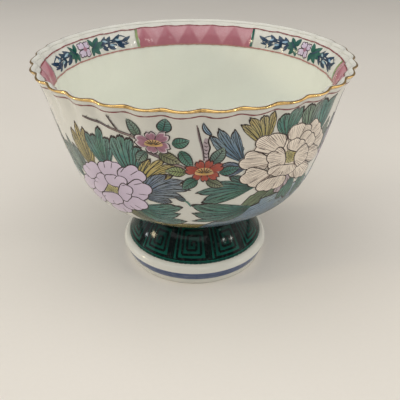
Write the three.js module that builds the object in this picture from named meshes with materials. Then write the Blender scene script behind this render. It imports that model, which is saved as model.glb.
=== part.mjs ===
// Footed porcelain bowl: a fluted bowl with a gilded lip, luted onto a hollow pedestal foot
import * as THREE from "three";

// Bowl sizes, in millimetres
const rimDiameter = 161.2;
const bowlHeight = 82.5;
const waistDiameter = 149.4;
const waistDrop = 12;
const bellyDiameter = 127.4;
const bellyHeight = 27.5;
const seatDiameter = 52;
const lipThickness = 1.9;
const wallThickness = 3.8;
const floorThickness = 7;

// How the wall leans, in degrees from upright, and how full its bends are
const lipLean = 35;
const waistLean = 11;
const bellyLean = 19;
const undersideRise = 18;
const undersideReach = 20;
const bellyReach = 15;
const sideReach = 14;
const flareReach = 4.5;

// Flutes pressed into the lip
const fluteCount = 32;
const fluteDepth = 1.5;
const fluteRise = 0.5;
const fluteReach = 24;
const fluteTurn = 3.1;

// Gilding on the lip
const giltHeight = 1.2;
const giltRound = 0.45;

// Pedestal foot
const footHeight = 33.4;
const slipThickness = 0.6;
const neckDiameter = 51;
const footWall = 4.7;
const footingDiameter = 77;
const plinthDiameter = 84;
const bandFloor = 4.2;
const bandCeiling = 9.4;
const shoulderHeight = 13.4;
const shoulderDiameter = 77.2;
const shoulderRound = 1.8;
const footingRound = 0.8;
const bellReach = 14;
const neckReach = 9;
const bellLean = 24;
const neckLean = 34;

// Enamels fired on the surface, and the play between two pieces
const enamelThickness = 0.5;
const play = 0.3;
const enamelTopDrop = 0.8;

// Pink panels inside the lip
const panelCount = 3;
const panelAngle = 57;
const panelCentre = 180;
const friezeTop = 3.4;
const friezeBottom = 13.3;

// Fineness of the surfaces
const columnsPerFlute = 4;
const roundColumns = 64;
const footColumns = 48;

const radians = THREE.MathUtils.degToRad;
const seatHeight = footHeight + slipThickness;
const rimHeight = seatHeight + bowlHeight;
const giltSeat = rimHeight - giltHeight;
const fluteColumns = fluteCount * columnsPerFlute;

const porcelain = new THREE.MeshStandardMaterial({ color: 0xe4e3d8, roughness: 0.18 });
const slipClay = new THREE.MeshStandardMaterial({ color: 0xd9d6ca, roughness: 0.5 });
const gilt = new THREE.MeshStandardMaterial({ color: 0xc9a24a, roughness: 0.25, metalness: 1 });
const greenEnamel = new THREE.MeshStandardMaterial({ color: 0x0b4536, roughness: 0.12 });
const cobalt = new THREE.MeshStandardMaterial({ color: 0x3c5a92, roughness: 0.2 });
const pinkEnamel = new THREE.MeshStandardMaterial({ color: 0xc2707f, roughness: 0.2 });

// A point of a section: x is the radius and y the height
function at(radius, height) {
  return new THREE.Vector2(radius, height);
}

// A direction that climbs, leaning outwards by an angle from upright
function leaning(angle) {
  return at(Math.sin(radians(angle)), Math.cos(radians(angle)));
}

// A bend from one point to another that starts and ends along the given directions
function bend(start, startWay, startReach, end, endWay, endReach, steps) {
  const leaving = start.clone().addScaledVector(startWay, startReach);
  const arriving = end.clone().addScaledVector(endWay, -endReach);
  return new THREE.CubicBezierCurve(start, leaving, arriving, end).getPoints(steps);
}

// Runs of points joined end to start, each shared point kept once
function joined(...runs) {
  return runs.flatMap((run, index) => (index ? run.slice(1) : run));
}

// A section line moved to its left by a distance that may change along it
function moved(line, distanceAt) {
  return line.map((point, index) => {
    const before = line[Math.max(index - 1, 0)];
    const after = line[Math.min(index + 1, line.length - 1)];
    const way = after.clone().sub(before).normalize();
    const distance = distanceAt(point, index);
    return at(point.x - way.y * distance, point.y + way.x * distance);
  });
}

// The point of a climbing section line at a height
function atHeight(line, height) {
  const next = line.findIndex((point) => point.y > height);
  const above = line[next < 0 ? line.length - 1 : Math.max(next, 1)];
  const below = line[line.indexOf(above) - 1];
  const share = (height - below.y) / (above.y - below.y);
  return at(THREE.MathUtils.lerp(below.x, above.x, share), height);
}

// The stretch of a climbing section line between two heights
function stretch(line, low, high) {
  const inside = line.filter((point) => point.y > low + play && point.y < high - play);
  return [atHeight(line, low), ...inside, atHeight(line, high)];
}

// The outside of the bowl, from its seat on the foot up to the lip
function outerWall() {
  const seat = at(seatDiameter / 2, seatHeight);
  const belly = at(bellyDiameter / 2, seatHeight + bellyHeight);
  const waist = at(waistDiameter / 2, rimHeight - waistDrop);
  const lip = at(rimDiameter / 2 - fluteDepth / 2, rimHeight);
  const underside = leaning(90 - undersideRise);
  const side = leaning(bellyLean);
  const neck = leaning(waistLean);
  return joined(
    bend(seat, underside, undersideReach, belly, side, bellyReach, 7),
    bend(belly, side, sideReach, waist, neck, sideReach, 4),
    bend(waist, neck, flareReach, lip, leaning(lipLean), flareReach, 4),
  );
}

// The wall is thickest at the floor and thins towards the lip
function thicknessAt(height) {
  const belly = seatHeight + bellyHeight;
  const waist = rimHeight - waistDrop;
  const low = THREE.MathUtils.smoothstep(height, seatHeight, belly);
  const high = THREE.MathUtils.smoothstep(height, waist, rimHeight);
  const body = THREE.MathUtils.lerp(floorThickness, wallThickness, low);
  return THREE.MathUtils.lerp(body, lipThickness, high);
}

const outer = outerWall();
const inner = moved(outer, (point) => thicknessAt(point.y));

// How far a flute stands out at an angle: 1 on a broad lobe, -1 in the narrow groove between
function ripple(angle) {
  const groove = 0.5 + 0.5 * Math.cos(fluteCount * (angle - columnAngle(0, fluteColumns)));
  return 1 - 2 * Math.pow(groove, 1.5);
}

// Columns are counted from the groove nearest the front
function columnAngle(column, columns) {
  return radians(fluteTurn - 90) + (2 * Math.PI * column) / columns;
}

// One point of a fluted surface, with the flutes fading out below the lip
function flutedPoint(point, angle, rise) {
  const strength = THREE.MathUtils.smoothstep(point.y, rimHeight - fluteReach, rimHeight);
  const wave = ripple(angle) * strength;
  const radius = point.x + (wave * fluteDepth) / 2;
  const height = point.y - (wave * rise) / 2;
  return new THREE.Vector3(radius * Math.cos(angle), radius * Math.sin(angle), height);
}

// A ring of points around the axis
function ring(point, columns, rise = 0) {
  const angles = Array.from({ length: columns }, (_, column) => columnAngle(column, columns));
  return angles.map((angle) => flutedPoint(point, angle, rise));
}

// The rings of a bowl wall: fine where it is fluted, coarse below
function wallRings(line) {
  return line.map((point) => {
    const fluted = point.y > rimHeight - fluteReach;
    return ring(point, fluted ? fluteColumns : roundColumns);
  });
}

// A plain round ring of the foot
function footRing(point) {
  return Array.from({ length: footColumns }, (_, column) => {
    const angle = columnAngle(column, footColumns);
    return new THREE.Vector3(point.x * Math.cos(angle), point.x * Math.sin(angle), point.y);
  });
}

// Triangles between two rings, which may have different numbers of points
function bridge(lower, upper) {
  const triangles = [];
  let near = 0;
  let far = 0;
  while (near < lower.length || far < upper.length) {
    const here = lower[near % lower.length];
    const there = upper[far % upper.length];
    if ((near + 0.5) / lower.length <= (far + 0.5) / upper.length) {
      near += 1;
      triangles.push(here, lower[near % lower.length], there);
    } else {
      far += 1;
      triangles.push(here, upper[far % upper.length], there);
    }
  }
  return triangles;
}

// A flat disc that closes a ring, facing up or down
function disc(points, height, facesUp) {
  const centre = new THREE.Vector3(0, 0, height);
  return points.flatMap((point, index) => {
    const next = points[(index + 1) % points.length];
    return facesUp ? [centre, point, next] : [centre, next, point];
  });
}

// A closed ring-shaped body whose section is the loop that the rings follow
function hoop(rings) {
  return rings.flatMap((points, index) => bridge(points, rings[(index + 1) % rings.length]));
}

function mesh(name, points, material) {
  const geometry = new THREE.BufferGeometry().setFromPoints(points);
  geometry.computeVertexNormals();
  const piece = new THREE.Mesh(geometry, material);
  piece.name = name;
  return piece;
}

// Up the outside, over the flat that the gilding sits on, and down the inside
function bowlBody() {
  const outside = stretch(outer, seatHeight, giltSeat);
  const floor = seatHeight + floorThickness;
  const inside = stretch(inner, inner[0].y, giltSeat).reverse();
  const rings = [...wallRings(outside), ...wallRings(inside)];
  const skin = rings.slice(1).flatMap((points, index) => bridge(rings[index], points));
  const underside = disc(rings[0], seatHeight, false);
  const bottom = disc(rings[rings.length - 1], floor, true);
  return mesh("bowl_body", [...underside, ...skin, ...bottom], porcelain);
}

// The gold band stands on the flat top of the wall and rounds the lip off
function giltLip() {
  const outSeat = atHeight(outer, giltSeat);
  const inSeat = atHeight(inner, giltSeat);
  const outTop = atHeight(outer, rimHeight - giltRound);
  const inTop = atHeight(inner, rimHeight - giltRound);
  const crown = (outTop.x - inTop.x) / 4;
  const rings = [
    ring(inSeat, fluteColumns),
    ring(outSeat, fluteColumns),
    ring(outTop, fluteColumns, fluteRise),
    ring(at(outTop.x - crown, rimHeight), fluteColumns, fluteRise),
    ring(at(inTop.x + crown, rimHeight), fluteColumns, fluteRise),
    ring(inTop, fluteColumns, fluteRise),
  ];
  return mesh("gilt_lip", hoop(rings), gilt);
}

// The bell of the foot, from the neck down to the shoulder, as it shows outside
function bellLine() {
  const shoulder = at(shoulderDiameter / 2, shoulderHeight);
  const neck = at(neckDiameter / 2, footHeight);
  return bend(shoulder, leaning(-bellLean), bellReach, neck, leaning(-neckLean), neckReach, 5);
}

// The plinth leans out from the footing to its widest line
function plinthRadius(height) {
  return THREE.MathUtils.mapLinear(height, 0, bandCeiling, footingDiameter / 2, plinthDiameter / 2);
}

// The plinth's outside, with a shallow seat for the blue band
function plinthLine() {
  const sunk = enamelThickness + play;
  return [
    at(footingDiameter / 2 - footingRound, 0),
    at(plinthRadius(footingRound), footingRound),
    at(plinthRadius(bandFloor), bandFloor),
    at(plinthRadius(bandFloor) - sunk, bandFloor),
    at(plinthRadius(bandCeiling) - sunk, bandCeiling),
    at(plinthRadius(bandCeiling), bandCeiling),
  ];
}

// The white shoulder rounds over from the widest line to the foot of the bell
function shoulderLine() {
  const widest = at(plinthDiameter / 2, bandCeiling);
  const foot = at(shoulderDiameter / 2, shoulderHeight);
  return bend(widest, leaning(0), shoulderRound, foot, leaning(-90), shoulderRound, 4);
}

// The hollow foot: footing, plinth, shoulder, the bell under its enamel, the neck and the inside
function pedestalFoot() {
  const sunk = enamelThickness + play;
  const bell = moved(bellLine(), () => sunk);
  bell[0] = at(shoulderDiameter / 2 - sunk, shoulderHeight);
  bell[bell.length - 1] = at(neckDiameter / 2 - sunk, footHeight);
  const outside = [...plinthLine(), ...shoulderLine().slice(1), ...bell];
  const plain = [
    at(footingDiameter / 2, 0),
    at(plinthRadius(bandFloor), bandFloor),
    at(plinthDiameter / 2, bandCeiling),
    ...bell,
  ];
  const inside = moved(plain, () => footWall);
  inside[0] = at(footingDiameter / 2 - footWall, 0);
  inside[inside.length - 1] = at(neckDiameter / 2 - sunk - footWall, footHeight);
  const section = [...outside, ...inside.reverse()];
  return mesh("pedestal_foot", hoop(section.map(footRing)), porcelain);
}

// The ring of slip that lutes the bowl to the neck of the foot
function lutingSlip() {
  const outside = neckDiameter / 2 - enamelThickness - play;
  const inside = outside - footWall;
  const section = [
    at(inside, footHeight),
    at(outside, footHeight),
    at(outside, seatHeight),
    at(inside, seatHeight),
  ];
  return mesh("luting_slip", hoop(section.map(footRing)), slipClay);
}

// The green enamel stands on the shoulder and follows the bell up to the neck
function greenFootEnamel() {
  const line = bellLine();
  const outside = stretch(line, shoulderHeight, footHeight - enamelTopDrop);
  const behind = moved(line, () => enamelThickness);
  const inside = stretch(behind, shoulderHeight, footHeight - enamelTopDrop);
  const section = [...outside, ...inside.reverse()];
  return mesh("green_foot_enamel", hoop(section.map(footRing)), greenEnamel);
}

// The cobalt band fills its seat around the plinth
function cobaltFootBand() {
  const section = [
    at(plinthRadius(bandFloor) - enamelThickness, bandFloor),
    at(plinthRadius(bandFloor), bandFloor),
    at(plinthRadius(bandCeiling), bandCeiling),
    at(plinthRadius(bandCeiling) - enamelThickness, bandCeiling),
  ];
  return mesh("cobalt_foot_band", hoop(section.map(footRing)), cobalt);
}

// A sheet of points, row by row, closed into a thin body by its twin behind it
function thickSheet(front, back) {
  const triangles = [];
  const quad = (a, b, c, d) => triangles.push(a, b, c, a, c, d);
  const rows = front.length - 1;
  const columns = front[0].length - 1;
  for (let row = 0; row < rows; row += 1) {
    for (let column = 0; column < columns; column += 1) {
      const cell = (sheet) => [
        sheet[row][column],
        sheet[row][column + 1],
        sheet[row + 1][column + 1],
        sheet[row + 1][column],
      ];
      quad(...cell(back));
      quad(...cell(front).reverse());
    }
    quad(back[row + 1][0], front[row + 1][0], front[row][0], back[row][0]);
    quad(front[row + 1][columns], back[row + 1][columns], back[row][columns], front[row][columns]);
  }
  for (let column = 0; column < columns; column += 1) {
    quad(front[0][column], front[0][column + 1], back[0][column + 1], back[0][column]);
    quad(back[rows][column], back[rows][column + 1], front[rows][column + 1], front[rows][column]);
  }
  return triangles;
}

// One pink panel on the inside of the lip, over whole facets of the wall
function pinkPanel(number) {
  const step = 360 / fluteColumns;
  const centre = panelCentre + (number * 360) / panelCount;
  const first = Math.round((centre - panelAngle / 2 - fluteTurn) / step);
  const last = first + Math.round(panelAngle / step);
  const sheet = (depth) => {
    const line = stretch(
      moved(inner, () => depth),
      rimHeight - friezeBottom,
      rimHeight - friezeTop,
    );
    const columns = Array.from({ length: last - first + 1 }, (_, index) => first + index);
    return line.map((point) =>
      columns.map((column) => flutedPoint(point, columnAngle(column, fluteColumns), 0)),
    );
  };
  const back = sheet(play);
  const front = sheet(play + enamelThickness);
  return mesh(`pink_panel_${number + 1}`, thickSheet(front, back), pinkEnamel);
}

const bowl = new THREE.Group();
bowl.add(bowlBody(), giltLip(), lutingSlip(), pedestalFoot(), greenFootEnamel(), cobaltFootBand());
for (let number = 0; number < panelCount; number += 1) {
  bowl.add(pinkPanel(number));
}

export default bowl;
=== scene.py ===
"""A footed porcelain bowl with painted enamels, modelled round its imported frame."""
from bisect import bisect_right
from contextlib import contextmanager
from math import atan2, ceil, cos, hypot, pi, radians, sin

import bmesh
import bpy
from bpy.props import FloatProperty, FloatVectorProperty, IntProperty, PointerProperty
from bpy.types import Operator, Panel, PropertyGroup
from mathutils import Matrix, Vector
from mathutils.bvhtree import BVHTree


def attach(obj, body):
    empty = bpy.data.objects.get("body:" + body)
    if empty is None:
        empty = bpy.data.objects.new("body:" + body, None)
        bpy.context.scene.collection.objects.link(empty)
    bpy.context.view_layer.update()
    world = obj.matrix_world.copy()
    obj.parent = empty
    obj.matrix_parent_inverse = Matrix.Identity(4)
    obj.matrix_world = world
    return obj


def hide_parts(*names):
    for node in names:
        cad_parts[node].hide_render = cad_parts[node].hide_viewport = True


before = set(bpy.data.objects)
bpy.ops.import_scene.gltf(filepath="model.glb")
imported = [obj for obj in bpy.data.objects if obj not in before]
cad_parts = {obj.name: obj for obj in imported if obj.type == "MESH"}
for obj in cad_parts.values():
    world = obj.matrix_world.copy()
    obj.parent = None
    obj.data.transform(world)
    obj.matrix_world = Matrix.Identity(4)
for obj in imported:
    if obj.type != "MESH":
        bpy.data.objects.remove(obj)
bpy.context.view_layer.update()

bl_info = {
    "name": "Footed Porcelain Bowl",
    "version": (1, 0, 0),
    "blender": (4, 5, 0),
    "location": "View3D > Sidebar > Bowl",
    "description": "Models a fluted, enamelled porcelain bowl on a pedestal foot",
    "category": "Add Mesh",
}

MM = 0.001
NEAR = 1e-6  # points closer than this, in metres, count as one
SHARP = radians(40)  # an edge that turns by more than this stays sharp
AROUND = 72.0  # a drawing's width is measured round a circle of this radius, in mm
TURN = 2 * pi * AROUND
THIRD = AROUND * 2 * pi / 3
CELL = 1.4  # what is painted already is kept track of in squares of this many mm
VEINS, OUTLINES, RIBS = 0.5, 0.6, 0.7  # how many layers each kind of line lies above its own fill
HATCHING = 0.92  # the gap between hatched lines, in mm
PANEL = radians(57)  # how far round the lip each pink panel reaches
GLOSS = 1.4  # how strongly the glaze and the enamels bend light


def size(name, description, millimetres):
    return FloatProperty(name=name, description=description, default=millimetres * MM,
                         unit="LENGTH", subtype="DISTANCE", precision=5)


def turn(name, description, degrees):
    return FloatProperty(name=name, description=description, default=radians(degrees),
                         unit="ROTATION", subtype="ANGLE")


def amount(name, description, default):
    return FloatProperty(name=name, description=description, default=default, min=0.0)


def colour(name, description, rgb):
    return FloatVectorProperty(name=name, description=description, default=rgb, size=3,
                               subtype="COLOR", min=0.0, max=1.0)


class BowlSizes(PropertyGroup):
    rim: size("Rim", "Width of the bowl over its lip", 161.2)
    height: size("Height", "From the seat on the foot to the lip", 82.5)
    waist: size("Waist", "Width where the lip begins to flare", 149.4)
    waist_drop: size("Waist drop", "How far the waist lies below the lip", 12)
    belly: size("Belly", "Width where the underside turns up", 127.4)
    belly_height: size("Belly height", "From the seat to the belly", 27.5)
    seat: size("Seat", "Width of the flat that sits on the foot", 52)
    lip_wall: size("Lip wall", "Thickness of the wall at the lip", 1.9)
    wall: size("Wall", "Thickness of the wall at the belly", 3.8)
    floor: size("Floor", "Thickness of the floor", 7)
    lip_lean: turn("Lip lean", "How far the lip leans from upright", 35)
    waist_lean: turn("Waist lean", "How far the waist leans from upright", 11)
    belly_lean: turn("Belly lean", "How far the belly leans from upright", 19)
    underside_rise: turn("Underside rise", "How the underside climbs away from the foot", 18)
    flutes: IntProperty(name="Flutes", description="Flutes pressed into the lip", default=32, min=3)
    flute_depth: size("Flute depth", "From groove to lobe at the lip", 1.5)
    flute_rise: size("Flute rise", "How much the lip's edge rises and falls", 0.5)
    flute_reach: size("Flute reach", "How far down the wall the flutes run", 24)
    flute_turn: turn("Flute turn", "Where the first groove lies, from the front", 3.1)
    gilt_height: size("Gilding", "Height of the gold on the lip", 1.2)
    frieze_top: size("Frieze top", "How far the frieze's upper line lies below the lip", 3.4)
    frieze_floor: size("Frieze floor", "How far the frieze's lower line lies below the lip", 13.3)


class FootSizes(PropertyGroup):
    height: size("Height", "Height of the pedestal", 33.4)
    slip: size("Slip", "Thickness of the slip between foot and bowl", 0.6)
    neck: size("Neck", "Width of the enamelled neck", 51)
    wall: size("Wall", "Thickness of the hollow foot", 4.7)
    footing: size("Footing", "Width of the ring that it stands on", 77)
    plinth: size("Plinth", "Width of the plinth at its widest line", 84)
    band_floor: size("Band floor", "Height of the blue band's lower edge", 4.2)
    band_ceiling: size("Band ceiling", "Height of the blue band's upper edge", 9.4)
    shoulder: size("Shoulder", "Width where the green bell begins", 77.2)
    shoulder_height: size("Shoulder height", "Height where the green bell begins", 13.4)
    bell_lean: turn("Bell lean", "How the bell leans in at its foot", 24)
    neck_lean: turn("Neck lean", "How the bell leans in at its neck", 34)
    enamel: size("Enamel", "Thickness of the green and blue layers", 0.5)
    play: size("Play", "Room between an enamel layer and the clay", 0.3)


class PaintSizes(PropertyGroup):
    outline: size("Outline", "Width of the drawn outlines", 0.48)
    vein: size("Vein", "Width of the veins and hatching", 0.27)
    lift: size("Lift", "How far the glaze lies below the lowest enamel", 0.03)
    layer: size("Layer", "How much each layer of enamel adds", 0.024)


class GlazeColours(PropertyGroup):
    # Painted light: the outside glaze is painted darker as shade and the inside lighter as light from above;
    # the inside's green tint is the glaze's own
    outside: colour("Outside glaze", "Porcelain outside", (0.71, 0.705, 0.65))
    inside: colour("Inside glaze", "Porcelain inside, where the glaze is deeper", (0.80, 0.82, 0.73))
    gold: colour("Gold", "Gilding on the lip", (0.80, 0.50, 0.14))
    # Dark brown for the patches in the gold: partly wear, partly a painted dark reflection
    worn_gold_and_dark_reflection: colour("Worn gold", "Gilding where it is thin", (0.16, 0.085, 0.030))
    bell: colour("Bell green", "Green enamel of the foot", (0.003, 0.034, 0.027))
    # Paler green: thin enamel, and the painted light low on the bell near the shoulder
    bell_thin_and_lit: colour("Bell pool", "Green enamel where it is thin", (0.008, 0.100, 0.075))
    band: colour("Band blue", "Blue band of the plinth", (0.030, 0.075, 0.21))
    pink: colour("Panel pink", "Pink panels inside the lip", (0.46, 0.155, 0.20))
    teal: colour("Teal", "Dark leaves", (0.070, 0.225, 0.160))
    green: colour("Grey green", "Pale leaves", (0.17, 0.26, 0.19))
    olive: colour("Olive", "Withered leaves", (0.25, 0.255, 0.125))
    moss: colour("Moss", "Young leaves", (0.30, 0.37, 0.16))
    ochre: colour("Ochre", "Yellow leaves", (0.48, 0.37, 0.115))
    strap: colour("Straw", "Pale broad leaves", (0.50, 0.46, 0.33))
    blue: colour("Blue", "Blue leaves", (0.15, 0.235, 0.28))
    steel: colour("Steel", "Pale blue leaves", (0.31, 0.41, 0.465))
    indigo: colour("Indigo", "Grey blue leaves", (0.17, 0.215, 0.265))
    bark: colour("Bark", "Twigs", (0.27, 0.18, 0.165))
    lavender: colour("Lavender", "Peony petals", (0.64, 0.54, 0.69))
    ivory: colour("Ivory", "Peony petals", (0.88, 0.78, 0.67))
    rose: colour("Rose", "Camellia petals", (0.35, 0.155, 0.225))
    red: colour("Red", "Camellia petals", (0.37, 0.042, 0.015))
    mauve: colour("Mauve", "Buds and small flowers", (0.50, 0.41, 0.45))
    eye: colour("Yellow", "Eyes of the camellias", (0.62, 0.35, 0.105))
    stamen: colour("Stamen", "Hearts of the peonies", (0.47, 0.39, 0.13))
    navy: colour("Navy", "Vines and leaves of the frieze", (0.012, 0.045, 0.085))
    sky: colour("Sky", "Pale leaves of the frieze", (0.34, 0.50, 0.56))
    deep_green: colour("Deep green", "Leaves of the frieze", (0.003, 0.100, 0.065))
    outline: colour("Outline", "Drawn outlines", (0.026, 0.015, 0.014))
    vein: colour("Vein", "Veins on the leaves", (0.020, 0.032, 0.030))
    hatch: colour("Hatching", "Hatching on the petals", (0.15, 0.095, 0.080))
    maroon: colour("Maroon", "Lines beside the lip", (0.23, 0.050, 0.055))
    frieze_line: colour("Frieze line", "Lower line of the frieze", (0.42, 0.20, 0.18))
    fret: colour("Fret", "Key fret of the foot", (0.002, 0.006, 0.006))


class StageSettings(PropertyGroup):
    floor: colour("Floor", "Floor", (0.80, 0.76, 0.70))
    sky: amount("Surround", "Light from all round", 0.24)
    overhead: amount("Overhead", "Power of the lamp overhead", 9.7)
    key: amount("Key", "Power of the lamp at the left", 3.1)
    fill: amount("Fill", "Power of the lamp at the right", 3.6)
    glint: amount("Glints", "Power of the small lamps, for each square metre", 130)


class Value:
    """A number that varies over a surface: arithmetic on it adds Math nodes."""

    def __init__(self, finish, socket):
        self.finish, self.socket = finish, socket

    def math(self, operation, first, second):
        node = self.finish.node("ShaderNodeMath", {"operation": operation}, first, second)
        return Value(self.finish, node.outputs[0])

    def __add__(self, other):
        return self.math("ADD", self, other)

    def __sub__(self, other):
        return self.math("SUBTRACT", self, other)

    def __mul__(self, other):
        return self.math("MULTIPLY", self, other)

    def __rsub__(self, other):
        return self.math("SUBTRACT", other, self)

    __radd__ = __add__

    def between(self, low, high):
        """0 below low and 1 above high, with a soft step."""
        settings = {"interpolation_type": "SMOOTHSTEP", "clamp": True}
        node = self.finish.node("ShaderNodeMapRange", settings, self, low, high, 0.0, 1.0)
        return Value(self.finish, node.outputs[0])


class Finish:
    """A material of one principled shader and the nodes that drive it."""

    def __init__(self, name, **constants):
        self.material = bpy.data.materials.new(name)
        self.material.use_nodes = True
        self.tree = self.material.node_tree
        self.shader = self.tree.nodes["Principled BSDF"]
        self.place = self.node("ShaderNodeTexCoord").outputs["Object"]
        for socket, number in constants.items():
            self.shader.inputs[socket.replace("_", " ")].default_value = number

    def feed(self, socket, value):
        """Links a socket to a value of the surface, or sets it."""
        if isinstance(value, Value):
            value = value.socket
        if isinstance(value, bpy.types.NodeSocket):
            self.tree.links.new(value, socket)
        else:
            socket.default_value = value

    def node(self, kind, settings=None, *values, **named):
        """Adds a node: its settings first, then the values or links of its sockets."""
        node = self.tree.nodes.new(kind)
        for key, setting in (settings or {}).items():
            setattr(node, key, setting)
        for key, value in (*enumerate(values), *named.items()):
            self.feed(node.inputs[key], value)
        return node

    def drive(self, socket, value):
        self.feed(self.shader.inputs[socket], value)

    def noise(self, scale, detail=2.0, rough=0.5, stretch=None):
        """Cloudy noise from 0 to 1; scale counts its features in a metre."""
        place = self.place
        if stretch:
            place = self.node("ShaderNodeMapping", {"vector_type": "POINT"}, place, Scale=stretch).outputs[0]
        node = self.node("ShaderNodeTexNoise", {"noise_dimensions": "3D"}, Vector=place,
                         Scale=scale, Detail=detail, Roughness=rough)
        return Value(self, node.outputs[0])

    def specks(self, scale, near, far):
        """1 in small round specks, fading out between two distances from their middles."""
        node = self.node("ShaderNodeTexVoronoi", {"feature": "F1"}, Vector=self.place, Scale=scale)
        return 1 - Value(self, node.outputs["Distance"]).between(near, far)

    def height(self):
        return Value(self, self.node("ShaderNodeSeparateXYZ", None, self.place).outputs["Z"])

    def attribute(self, name):
        node = self.node("ShaderNodeAttribute", {"attribute_name": name})
        return Value(self, node.outputs["Fac"])

    def mix(self, share, first, second):
        """A blend of two colours."""
        node = self.node("ShaderNodeMix", {"data_type": "RGBA", "clamp_factor": True})
        ends = [end if isinstance(end, bpy.types.NodeSocket) else (*end, 1.0) for end in (first, second)]
        for index, value in zip((0, 6, 7), (share, *ends)):
            self.feed(node.inputs[index], value)
        return node.outputs[2]

    def bump(self, height, strength, distance):
        node = self.node("ShaderNodeBump", None, Strength=strength, Distance=distance, Height=height)
        self.drive("Normal", node.outputs[0])


def lighter(rgb, share):
    """The colour moved some of the way to white, or to black with a negative share."""
    goal = 1.0 if share > 0 else 0.0
    return tuple(c + (goal - c) * abs(share) for c in rgb)


def clamped(number):
    return min(max(number, 0.0), 1.0)


def eased(share):
    """A share from 0 to 1 with a soft start and a soft end."""
    share = clamped(share)
    return share * share * (3 - 2 * share)


# Sections, as runs of (radius, height) points in metres


def seat_height(foot):
    return foot.height + foot.slip


def lip_height(bowl, foot):
    return seat_height(foot) + bowl.height


def leaning(angle):
    """The way that a climbing line takes when it leans out by an angle."""
    return Vector((sin(angle), cos(angle)))


def bend(start, way, reach, end, end_way, end_reach, steps):
    """Points of a smooth bend; it keeps to the way at each end for about the reach there, in mm."""
    a, d = Vector(start), Vector(end)
    b, c = a + way * reach * MM, d - end_way * end_reach * MM
    shares = [step / steps for step in range(steps + 1)]
    return [a * (1 - t) ** 3 + b * 3 * t * (1 - t) ** 2 + c * 3 * t * t * (1 - t) + d * t ** 3
            for t in shares]


def outer_section(bowl, foot, fine=1):
    """The bowl's outside, from its seat up to the lip."""
    low, top = seat_height(foot), lip_height(bowl, foot)
    seat = (bowl.seat / 2, low)
    belly = (bowl.belly / 2, low + bowl.belly_height)
    waist = (bowl.waist / 2, top - bowl.waist_drop)
    lip = (bowl.rim / 2 - bowl.flute_depth / 2, top)
    under = leaning(pi / 2 - bowl.underside_rise)
    side, neck, flare = leaning(bowl.belly_lean), leaning(bowl.waist_lean), leaning(bowl.lip_lean)
    return (bend(seat, under, 20, belly, side, 15, 8 * fine)[:-1]
            + bend(belly, side, 14, waist, neck, 14, 6 * fine)[:-1]
            + bend(waist, neck, 4.5, lip, flare, 4.5, 5 * fine))


def moved(line, distances):
    """A section moved to its left by the distance given for each point."""
    result = []
    for index, point in enumerate(line):
        way = (line[min(index + 1, len(line) - 1)] - line[max(index - 1, 0)]).normalized()
        result.append(point + Vector((-way.y, way.x)) * distances[index])
    return result


def inner_section(bowl, foot, fine=1):
    """The bowl's inside: its outside moved in by the thickness of the wall."""
    low, top = seat_height(foot), lip_height(bowl, foot)
    belly, waist = low + bowl.belly_height, top - bowl.waist_drop

    def thickness(z):
        body = bowl.floor + (bowl.wall - bowl.floor) * eased((z - low) / (belly - low))
        return body + (bowl.lip_wall - body) * eased((z - waist) / (top - waist))

    outer = outer_section(bowl, foot, fine)
    return moved(outer, [thickness(point.y) for point in outer])


def bell_section(foot, steps=12):
    """The outside of the green bell, from its shoulder up to the neck."""
    shoulder = Vector((foot.shoulder / 2, foot.shoulder_height))
    neck = Vector((foot.neck / 2, foot.height))
    return bend(shoulder, leaning(-foot.bell_lean), 14, neck, leaning(-foot.neck_lean), 9, steps)


def plinth_at(foot, z):
    """The outside of the plinth at a height."""
    return Vector((foot.footing / 2 + (foot.plinth - foot.footing) / 2 * z / foot.band_ceiling, z))


def at_height(line, z):
    """The point of a climbing section at a height."""
    for below, above in zip(line, line[1:]):
        if below.y <= z <= above.y:
            return below.lerp(above, (z - below.y) / (above.y - below.y))
    return line[-1] if z > line[-1].y else line[0]


def swelled(line):
    """Each point moved out a little, so that the smoothed surface keeps to the section."""
    result = [line[0]]
    for before, point, after in zip(line, line[1:], line[2:]):
        across = Vector((-(after - before).y, (after - before).x)).normalized()
        result.append(point - across * across.dot(before - point * 2 + after) / 6)
    return result + [line[-1]]


# Modelling with Blender's own tools


def only(piece):
    """Deselects everything else and makes the piece active."""
    bpy.ops.object.select_all(action="DESELECT")
    piece.select_set(True)
    bpy.context.view_layer.objects.active = piece


def select_where(piece, test):
    """In edit mode, selects the vertices whose place passes the test."""
    mesh = bmesh.from_edit_mesh(piece.data)
    bpy.ops.mesh.select_all(action="DESELECT")
    for vertex in mesh.verts:
        vertex.select = test(vertex.co)
    mesh.select_flush_mode()
    bmesh.update_edit_mesh(piece.data)


@contextmanager
def editing():
    """Works on the active piece in edit mode."""
    bpy.ops.object.mode_set(mode="EDIT")
    yield
    bpy.ops.object.mode_set(mode="OBJECT")


def on_ring(co, point):
    return abs(co.z - point.y) < NEAR and abs(hypot(co.x, co.y) - point.x) < NEAR


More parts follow.
